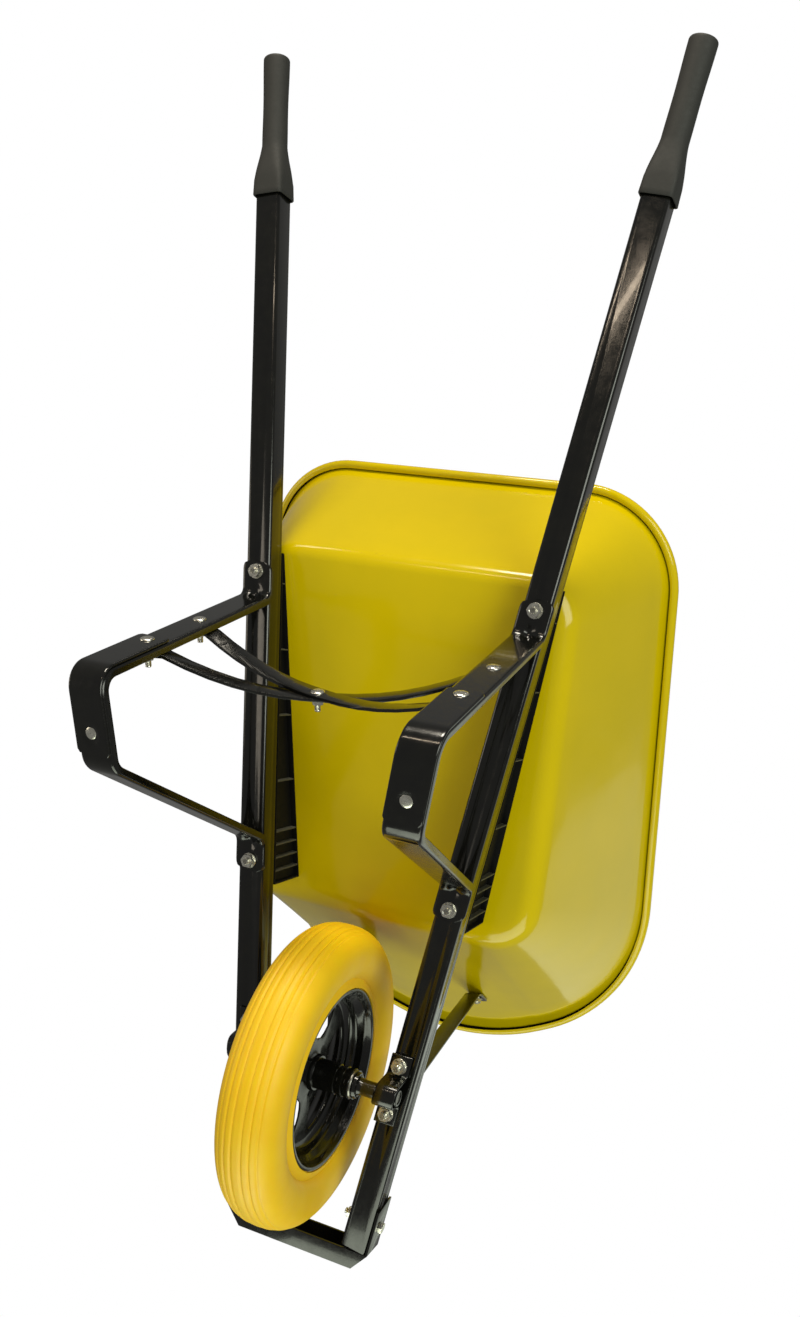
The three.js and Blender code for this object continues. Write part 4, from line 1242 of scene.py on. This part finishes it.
        span = (self.riser_front, self.riser_rear)
        core = [
            self.wedge(side, span, half - self.riser_recess,
                       lambda y: base + skin / 2, lambda y: top(y) - skin / 2),
            self.wedge(side, span, half, lambda y: base, lambda y: base + skin),
            self.wedge(side, span, half, lambda y: top(y) - skin, top),
            self.wedge(side, (span[0], span[0] + skin), half,
                       lambda y: base + 0.1, lambda y: top(y) - 0.1)]
        self.shop.piece(f"riser_web_{side.label}", self.shop.joined(core), RISER_PLASTIC, Body.FRAME,
                        [f"riser_{side.label}"], smooth=40)
        rows = []
        for start, pitch, count in self.rib_rows:
            stride = Vector((side.value * body.splay * pitch, pitch, 0))
            row = self.ribs.run(count, stride, 2 * half - 0.4, self.rib_steel,
                                top(start) - base - skin, Tray.floor.slope * pitch)
            at = Vector((side.value * body.handle_x(start), start, base + skin / 2))
            row.transform(body.matrix @ Matrix.Translation(at))
            rows.append(row)
        self.shop.piece(f"riser_ribs_{side.label}", self.shop.joined(rows), SCUFFED_RIB, Body.FRAME,
                        smooth=40)


# ---------------------------------------------------------------- wheel
@dataclass
class Wheel:
    """The foam tyre on its pressed rim, the hub tube and its bearings, all turned about the axle."""

    shop: Workshop
    radius: float = 200.0
    width: float = 88.0
    rim_radius: float = 120.0
    rim_width: float = 72.0
    rim_wall: float = 2.5
    rim_well: float = 14.0
    hub_radius: float = 20.0
    hub_wall: float = 3.5
    hub_length: float = 124.0
    windows: int = 5
    spoke_lead: float = 0.05
    spoke_trail: float = 0.37
    window_corner: float = 0.13
    groove_spots: tuple[float, ...] = (-27.0, -17.5, -7.0, 7.0, 17.5, 27.0)
    groove_depth: float = 1.5
    groove_half: float = 1.5

    def build(self) -> None:
        """Builds every piece of the wheel."""
        self.tyre()
        self.rim()
        self.hub()
        for side in Side:
            node = f"bearing_{side.label}"
            self.shop.piece(f"bearing_ring_{side.label}", self.shop.eased(node, 0.3), BEARING_STEEL,
                            Body.WHEEL, [node])
        self.shop.piece("grease_fitting", self.shop.eased("grease_nipple", 0.4, segments=3), ZINC_PLATE,
                        Body.WHEEL, ["grease_nipple"])
        LOG.info("wheel: grooved tyre, windowed rim, stepped hub")

    @property
    def centre(self) -> Vector:
        """The middle of the axle in the chassis frame."""
        return Vector((0, 0, -self.shop.chassis.axle_drop))

    def turned(self, name: str, profile: Sequence[tuple[float, float]], segments: int, finish: Finish,
               stands_for: Sequence[str], smooth: float = 40.0) -> bpy.types.Object:
        """Turns a closed profile about the axle.

        Args:
            name: the piece's name.
            profile: closed loop of (x, radius).
            segments: spokes round the axis.
            finish: its surface.
            stands_for: CAD nodes that it replaces.
            smooth: the smooth shading angle.

        Returns:
            The object.
        """
        rings = sleeve_rings(profile, segments, self.centre)
        mesh = self.shop.skin(rings, closed=True)
        return self.shop.piece(name, mesh, finish, Body.WHEEL, stands_for, smooth)

    def groove(self, x: float) -> float:
        """Depth of the tread grooves at a distance from the middle plane."""
        spots = ((x - g) / self.groove_half for g in self.groove_spots)
        return sum(self.groove_depth * math.exp(-(spot**2)) for spot in spots)

    def tyre(self) -> None:
        """Builds the tyre, a round crown with moulded circumferential grooves."""
        seat = self.rim_radius - 1
        half = self.rim_width / 2 - self.rim_wall - 0.3
        middle = (self.radius + self.rim_radius) / 2
        bulge = self.radius - middle - 2
        profile = [(half, seat), (half, self.rim_radius + 1.1), (half + 3.4, self.rim_radius + 1.1)]
        for k in range(181):
            a = math.radians(-48 + 276 * k / 180)
            c, s = math.cos(a), math.sin(a)
            x = self.width / 2 * math.copysign(abs(c) ** 0.8, c)
            crown = bulge * math.copysign(abs(s) ** 0.9, s)
            cut = self.groove(x) if s > 0 else 0.0
            profile.append((x, middle + 2 + crown - cut))
        profile += [(-half - 3.4, self.rim_radius + 1.1), (-half, self.rim_radius + 1.1), (-half, seat)]
        well = self.rim_radius - self.rim_well + 1.3
        profile += [(8 - half, seat - 2), (16 - half, well), (half - 16, well), (half - 8, seat - 2)]
        self.turned("foam_tyre", profile, 160, YELLOW_FOAM, ["tyre"], smooth=50)

    def rim(self) -> None:
        """Builds the pressed rim: rolled flanges, a drop centre and a dished web with windows."""
        half, t = self.rim_width / 2, self.rim_wall
        seat = self.rim_radius - 2.3
        well = self.rim_radius - self.rim_well
        hole = self.hub_radius + 0.3

        def flank(s: int) -> list[tuple[float, float]]:
            """Half the rim's profile, on the side with that sign."""
            lip = [(s * (half - 1.2 + 1.2 * math.sin(a)), self.rim_radius - 1.2 + 1.2 * math.cos(a))
                   for a in (math.pi / 2, math.pi / 4, 0)]
            return [
                (s * (t / 2), hole), (s * (t / 2 + 9), hole), (s * (t / 2 + 9), hole + t),
                (s * (t / 2 + 2.6), hole + 4), (s * (t / 2 + 1), hole + 9), (s * t / 2, hole + 18),
                (s * t / 2, well - t - 11), (s * (t / 2 + 1.5), well - t - 6),
                (s * (t / 2 + 5), well - t - 2.2), (s * (t / 2 + 9), well - t),
                (s * (half - 22), well - t), (s * (half - 18), well - t + 2),
                (s * (half - 13), seat - t - 4), (s * (half - 8), seat - t - 2),
                (s * (half - t), seat - t - 1),
                (s * (half - 0.7), seat - t), (s * half, seat), *lip, (s * (half - t), self.rim_radius),
                (s * (half - t), seat + 0.6), (s * (half - 10), seat - 1.6), (s * (half - 18), well)]

        profile = [*flank(1), *reversed(flank(-1))]
        mesh = self.shop.skin(sleeve_rings(profile, 120, self.centre), closed=True)
        holder = placed("rim_blank", mesh)
        cutter = self.window_cutter(self.hub_radius + 24, well - t - 15)
        punch = holder.modifiers.new("punch", "BOOLEAN")
        punch.operation = "DIFFERENCE"
        punch.solver = "EXACT"
        punch.object = cutter
        bevelled(holder, 0.5, 2, 60)
        mesh = self.shop.applied(holder)
        bpy.data.objects.remove(cutter)
        self.shop.piece("pressed_rim", mesh, BLACK_ENAMEL, Body.WHEEL, ["rim"], smooth=40)

    def window_cutter(self, low: float, high: float) -> bpy.types.Object:
        """Makes the punches for the web's windows, pie shapes with rounded corners.

        Args:
            low: the windows' inner radius.
            high: their outer radius.

        Returns:
            A temporary object holding all the punches.
        """
        work = bmesh.new()
        sweep = 2 * math.pi / self.windows
        for k in range(self.windows):
            start, end = k * sweep + self.spoke_lead, (k + 1) * sweep - self.spoke_trail
            corner = self.window_corner
            loop = [(high, lerp(start + corner, end - corner, i / 14)) for i in range(15)]
            loop += [(high - 8, end - 0.03), (lerp(low, high, 0.4), end - 0.04), (low + 7, end - 0.12)]
            loop += [(low, lerp(end - 0.26, start + 0.26, i / 6)) for i in range(7)]
            loop += [(low + 7, start + 0.12), (lerp(low, high, 0.4), start + 0.04), (high - 8, start + 0.03)]
            points = [Vector((0, -r * math.cos(a), r * math.sin(a))) + self.centre for r, a in loop]
            near = [work.verts.new(p - ACROSS * 20) for p in points]
            far = [work.verts.new(p + ACROSS * 20) for p in points]
            work.faces.new(near)
            work.faces.new(far[::-1])
            for i in range(len(points)):
                j = (i + 1) % len(points)
                work.faces.new((near[i], far[i], far[j], near[j]))
        mesh = bpy.data.meshes.new("punches")
        work.to_mesh(mesh)
        work.free()
        self.shop.settle(mesh, self.shop.chassis.matrix)
        made = placed("punches", mesh)
        return made

    def hub(self) -> None:
        """Builds the hub tube, with a weld bead at the web and a stepped collar at each end."""
        half, r = self.hub_length / 2, self.hub_radius
        inner = r - self.hub_wall
        side = [(half, inner), (half, r - 0.8), (half - 0.8, r), (half - 6, r), (half - 7, r - 1.4),
                (half - 10, r - 1.4), (half - 11, r), (half - 17, r), (half - 18, r - 1.4),
                (half - 21, r - 1.4), (half - 22, r), (12.5, r), (11.5, r + 0.2)]
        profile = [*side, *((-x, y) for x, y in reversed(side))]
        self.turned("hub_tube", profile, 64, BLACK_ENAMEL, ["hub"])


# ---------------------------------------------------------------- axle, brackets, guard and stays
@dataclass
class FrontIron:
    """The fixed axle with its flared sleeves and brackets, the tray stays and the nose guard."""

    shop: Workshop
    sleeve_radius: float = 10.75
    mouth: float = 19.0
    start: float = 66.6
    end: float = 128.4
    bore: float = 8.05

    def build(self) -> None:
        """Builds the fixed parts round the wheel."""
        eases = {"axle_bracket": 1.4, "tray_stay": 1.2}
        for side in Side:
            self.sleeve(side)
            for stem, width in eases.items():
                node = f"{stem}_{side.label}"
                mesh = self.shop.eased(node, width, segments=3, angle=48)
                self.shop.piece(f"{node}_strap", mesh, BLACK_ENAMEL, Body.FRAME, [node], smooth=40)
        guard = self.shop.eased("nose_guard", 1.1, segments=3, angle=30)
        self.shop.piece("nose_guard_cap", guard, BLACK_ENAMEL, Body.FRAME, ["nose_guard"], smooth=28)
        rod = self.shop.eased("axle", 0.8, angle=50)
        self.shop.piece("axle_rod", rod, BEARING_STEEL, Body.FRAME, ["axle"])
        LOG.info("front iron: axle, sleeves, brackets, stays, nose guard")

    def sleeve(self, side: Side) -> None:
        """Builds one spacer sleeve, whose end is flared out to an edge that is bare and worn on the real
        part but enamelled black here.

        Args:
            side: which of the two.
        """
        r, m, s = self.sleeve_radius, self.mouth, self.start
        flare = [(s + 14 - 14 * math.sin(a), r + (m - 0.8 - r) * (1 - math.cos(a)) ** 1.3)
                 for a in (math.pi / 2 * k / 10 for k in range(11))]
        throat = [(x + 2.0 + 3 * (y - r) / (m - r), y - 1.7)
                  for x, y in reversed(flare) if y - 1.7 > self.bore]
        profile = [(self.end, self.bore), (self.end, r - 0.6), (self.end - 0.6, r), *flare,
                   (s, m - 0.5), (s + 0.7, m), (s + 0.5, m - 1.6), *throat, (s + 15, self.bore)]
        directed = [(side.value * x, y) for x, y in profile]
        centre = Vector((0, 0, -self.shop.chassis.axle_drop))
        mesh = self.shop.skin(sleeve_rings(directed, 56, centre), closed=True)
        self.shop.piece(f"axle_sleeve_flared_{side.label}", mesh, BLACK_ENAMEL, Body.FRAME,
                        [f"axle_sleeve_{side.label}"], smooth=40)


# ---------------------------------------------------------------- bolts and nuts
@dataclass(frozen=True)
class Screw:
    """A bolt size in millimetres."""

    shank: float
    across: float
    head: float
    nut: float
    pitch: float
    washer: float


# A washer's thickness, a thread ridge's radius, and the slack in finding a bolt's end rings in the frame.
WASHER = 1.2
RIDGE = 0.42
END_SLACK = 0.0004
M10 = Screw(4.6, 17.0, 6.0, 8.0, 1.5, 10.5)
M8 = Screw(3.9, 13.0, 5.0, 6.5, 1.25, 8.5)


@dataclass
class Fasteners:
    """Every bolt, nut and washer, built where the frame's own bolt nodes lie."""

    shop: Workshop

    def build(self) -> None:
        """Builds the tray, brace, shoe, bracket, nose and stay bolts."""
        self.thread = ThreadTree(self.shop, ZINC_PLATE)
        for side in Side:
            for spot in ("rear", "front"):
                self.bolt(f"tray_bolt_{spot}_{side.label}", M10, nut=f"tray_nut_{spot}_{side.label}")
                self.bolt(f"bracket_bolt_{spot}_{side.label}", M10)
            for spot in ("upper", "lower"):
                self.bolt(f"brace_bolt_{spot}_{side.label}", M8, nut=f"brace_nut_{spot}_{side.label}")
            self.bolt(f"shoe_bolt_{side.label}", M8, nut=f"shoe_nut_{side.label}")
            self.bolt(f"nose_bolt_{side.label}", M8)
            self.bolt(f"stay_bolt_{side.label}", M8)
        self.bolt("cross_bolt", M8, nut="cross_nut")
        LOG.info("fasteners: threaded bolts with nuts and washers")

    def measure(self, node: str) -> tuple[Vector, Vector, list[tuple[float, float]]]:
        """Finds a bolt's own line in the frame.

        Args:
            node: the CAD bolt.

        Returns:
            Its tip, its axis from tip to head, and (distance from the tip, radius) of its points, in metres.
        """
        points = [v.co.copy() for v in self.shop.nodes[node].data.vertices]
        middle = sum(points, Vector()) / len(points)
        axis = max((p - middle for p in points), key=lambda d: d.length)
        for _ in range(12):
            axis = unit(sum(((p - middle) * (p - middle).dot(axis) for p in points), Vector()))
        along = [(p - middle).dot(axis) for p in points]
        low, high = min(along), max(along)

        def spread(end: float) -> float:
            """How wide the bolt is at one end."""
            near = [p for p, a in zip(points, along) if abs(a - end) < END_SLACK]
            hub = sum(near, Vector()) / len(near)
            return max((p - hub).length for p in near)

        if spread(low) > spread(high):
            axis = -axis
            along = [-a for a in along]
            low, high = -high, -low
        ends = [p for p, a in zip(points, along) if abs(a - low) < END_SLACK]
        tip = sum(ends, Vector()) / len(ends)
        rings = sorted((a - low, ((p - tip) - axis * (a - low)).length) for p, a in zip(points, along))
        return tip, axis, rings

    def bolt(self, node: str, size: Screw, nut: str | None = None) -> None:
        """Builds one bolt with its nut and washer in place of the plain CAD ones.

        Args:
            node: the CAD bolt.
            size: its screw size.
            nut: the CAD nut, if it is a node of its own.
        """
        tip, axis, rings = self.measure(node)
        length = rings[-1][0] / MM
        wide = [a / MM for a, r in rings if r / MM > size.shank * 1.25]
        domed = not node.startswith(("bracket_bolt", "nose_bolt"))
        head_from = min(a for a in wide if a > length - size.head - 0.6)
        if nut:
            spots = [(v.co - tip).dot(axis) / MM for v in self.shop.nodes[nut].data.vertices]
            seat = max(spots)
        else:
            seat = max(a for a in wide if a < head_from - 2.0)
        work = bmesh.new()
        self.hexagon(work, size, seat - size.nut, size.nut - WASHER)
        hole, rim = size.shank + 0.3, size.washer
        self.disc(work, [(seat - WASHER, hole), (seat - WASHER, rim), (seat - 0.9, rim + 0.2),
                         (seat - 0.3, rim + 0.2), (seat, rim), (seat, hole)])
        if domed:
            radius = max(r for a, r in rings if a > (head_from + 0.4) * MM) / MM
            rise = length - head_from
            dome = [(head_from + rise * math.sin(t), radius * math.cos(t) ** 0.7)
                    for t in (math.pi / 2 * k / 9 for k in range(9))]
            self.disc(work, [(head_from, 0.3), (head_from, radius - 0.2), *dome, (length, 0.3)])
        else:
            self.hexagon(work, size, head_from, size.head)
        stem = (seat - 1.0, head_from + 0.2)
        self.disc(work, [(stem[0], 0.3), (stem[0], size.shank), (stem[1], size.shank), (stem[1], 0.3)])
        self.disc(work, [(0.0, 0.3), (0.0, size.shank - 1.1), (1.0, size.shank - 0.2),
                         (1.4, size.shank - 0.2), (1.4, 0.3)])
        threads = self.thread.run(size.shank - 0.35, size.pitch, seat - WASHER, RIDGE)
        work.from_mesh(threads)
        mesh = bpy.data.meshes.new(node)
        work.to_mesh(mesh)
        work.free()
        turn = axis.to_track_quat("Z", "Y").to_matrix().to_4x4()
        mesh.transform(Matrix.Translation(tip) @ turn @ Matrix.Scale(MM, 4))
        stands = [node, nut] if nut else [node]
        self.shop.piece(f"{node}_set", mesh, ZINC_PLATE, Body.FRAME, stands, smooth=32)

    def disc(self, work: bmesh.types.BMesh, profile: Sequence[tuple[float, float]],
             spokes: int = 36) -> None:
        """Adds a closed lathe about Z.

        Args:
            work: the mesh to add to.
            profile: closed loop of (height, radius).
            spokes: steps round the axis.
        """
        grid = [[work.verts.new((r * math.cos(a), r * math.sin(a), z)) for z, r in profile]
                for a in (2 * math.pi * k / spokes for k in range(spokes))]
        made = []
        for k in range(spokes):
            for i in range(len(profile)):
                j, n = (i + 1) % len(profile), (k + 1) % spokes
                made.append(work.faces.new((grid[k][i], grid[n][i], grid[n][j], grid[k][j])))
        bmesh.ops.recalc_face_normals(work, faces=made)

    def hexagon(self, work: bmesh.types.BMesh, size: Screw, low: float, height: float) -> None:
        """Adds a hexagon with its corners chamfered round, as a nut or a head.

        Args:
            work: the mesh to add to.
            size: the screw size.
            low: its lower face.
            height: its height.
        """
        corner = size.across / math.sqrt(3)
        spokes = 48
        angles = [2 * math.pi * k / spokes for k in range(spokes)]
        flats = [size.across / 2 / math.cos((a % (math.pi / 3)) - math.pi / 6) for a in angles]
        made = []

        def row(radii: Sequence[float], z: float) -> list[bmesh.types.BMVert]:
            """Points round the axis at a height."""
            return [work.verts.new((r * math.cos(a), r * math.sin(a), z)) for r, a in zip(radii, angles)]

        def band(one: Sequence[bmesh.types.BMVert], two: Sequence[bmesh.types.BMVert]) -> None:
            """Faces between two rows."""
            for k in range(spokes):
                n = (k + 1) % spokes
                made.append(work.faces.new((one[k], one[n], two[n], two[k])))

        levels = ((0.0, 0.93), (0.09, 1.0), (0.91, 1.0), (1.0, 0.93))
        rows = [row([min(flat, corner * limit) for flat in flats], low + share * height)
                for share, limit in levels]
        for low_row, high_row in zip(rows, rows[1:]):
            band(low_row, high_row)
        for outer, z in ((rows[0], low), (rows[-1], low + height)):
            inner = row([size.shank * 0.9] * spokes, z)
            band(outer, inner)
            made.append(work.faces.new(inner))
        bmesh.ops.recalc_face_normals(work, faces=made)


# ---------------------------------------------------------------- studio
@dataclass
class Studio:
    """The camera, the pale floor and plain soft light."""

    chassis: Chassis
    eye: tuple[float, float, float] = (-615.9, 638.2, -1469.6)
    aim: tuple[float, float, float] = (-53.9, 572.8, -80.3)
    roll: float = 60.08
    focal_share: float = 1166.4 / 1317
    floor_reach: float = 12.0
    dome: float = 0.2

    def build(self) -> None:
        """Builds the camera, lights, world and floor."""
        bpy.context.scene.view_settings.view_transform = "Standard"
        self.camera()
        self.floor()
        self.world()
        self.lights()
        LOG.info("studio: camera, floor, world and lights")

    def camera(self) -> None:
        """Places the camera low behind the wheel, looking up at the underside."""
        data = bpy.data.cameras.new("camera")
        data.sensor_fit = "VERTICAL"
        data.sensor_height = 24.0
        data.sensor_width = 24.0
        data.lens = self.focal_share * data.sensor_height
        data.clip_start = 0.05
        made = placed("camera", data)
        eye = self.chassis.matrix @ Vector(self.eye)
        ahead = self.chassis.matrix @ Vector(self.aim) - eye
        roll = Matrix.Rotation(math.radians(self.roll), 4, "Z")
        made.matrix_world = facing(eye, ahead) @ roll
        bpy.context.scene.camera = made

    def floor(self) -> None:
        """Lays a pale floor that shows from above only and casts no shade on the underside."""
        mesh = bpy.data.meshes.new("floor")
        reach = self.floor_reach
        corners = [(-reach, -reach, 0), (reach, -reach, 0), (reach, reach, 0), (-reach, reach, 0)]
        mesh.from_pydata([Vector(c) for c in corners], [], [(0, 1, 2, 3)])
        material = bpy.data.materials.new("pale_floor_paint")
        material.use_nodes = True
        tree = material.node_tree
        tree.nodes.clear()
        paint = put(tree, "ShaderNodeBsdfDiffuse", {"Color": linear("#f4f4f2")})
        clear = put(tree, "ShaderNodeBsdfTransparent")
        under = put(tree, "ShaderNodeNewGeometry").outputs["Backfacing"]
        mix = put(tree, "ShaderNodeMixShader", {0: under, 1: paint.outputs[0], 2: clear.outputs[0]})
        put(tree, "ShaderNodeOutputMaterial", {"Surface": mix.outputs[0]})
        mesh.materials.append(material)
        made = placed("floor", mesh)
        made.visible_shadow = False
        made.visible_diffuse = False
        made.visible_glossy = False

    def world(self) -> None:
        """Sets a white backdrop whose light on the piece is a soft grey dome."""
        world = bpy.data.worlds.new("studio")
        world.use_nodes = True
        tree = world.node_tree
        tree.nodes.clear()
        seen = put(tree, "ShaderNodeLightPath").outputs["Is Camera Ray"]
        dome = put(tree, "ShaderNodeBackground", {"Color": linear("#f2f1ec"), "Strength": self.dome})
        backdrop = put(tree, "ShaderNodeBackground", {"Color": (1, 1, 1, 1), "Strength": 1.0})
        mix = put(tree, "ShaderNodeMixShader", {0: seen, 1: dome.outputs[0], 2: backdrop.outputs[0]})
        put(tree, "ShaderNodeOutputWorld", {"Surface": mix.outputs[0]})
        bpy.context.scene.world = world

    def lights(self) -> None:
        """Hangs the soft boxes."""
        boxes = [
            ("ceiling_strip", (0.75, 2.9, -1.7), (0, 0.2, 0.4), (1.1, 0.1), 8, "#ffe9cc"),
            ("rear_card", (0.3, 4.2, 0.3), (0, 0.3, 0.5), (1.6, 1.0), 140, "#fff6e4"),
            ("fill", (-2.8, 1.2, -1.5), (0, 0, 0.3), (2.2, 2.2), 76, "#fafff0"),
            ("low_card", (-0.4, -2.8, -1.5), (0, -0.3, 0.4), (3.2, 2.2), 64, "#f6ffe8"),
            ("side", (2.6, 0.4, -1.0), (0, 0, 0.3), (1.2, 1.6), 14, "#fff2dc"),
            ("front_top", (-1.3, -2.0, 2.6), (0, -0.2, 0.3), (2.6, 2.6), 12, "#f4ffea"),
        ]
        for name, at, toward, size, power, colour in boxes:
            data = bpy.data.lights.new(name, "AREA")
            data.shape = "RECTANGLE"
            data.size, data.size_y = size
            data.energy = power
            data.color = linear(colour)[:3]
            made = placed(name, data)
            made.matrix_world = facing(Vector(at), Vector(toward) - Vector(at))


def main() -> None:
    """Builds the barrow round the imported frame, piece by piece."""
    logging.basicConfig(level=logging.INFO, format="%(name)s: %(message)s")
    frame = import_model()
    low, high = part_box("tyre")
    chassis = Chassis(axle=(low + high) / 2)
    shop = Workshop(chassis, Paintshop(), frame["nodes"])
    Studio(chassis).build()
    for part in (Tray, Undercarriage, Handles, Wheel, FrontIron, Fasteners):
        part(shop).build()


if __name__ == "__main__":
    main()
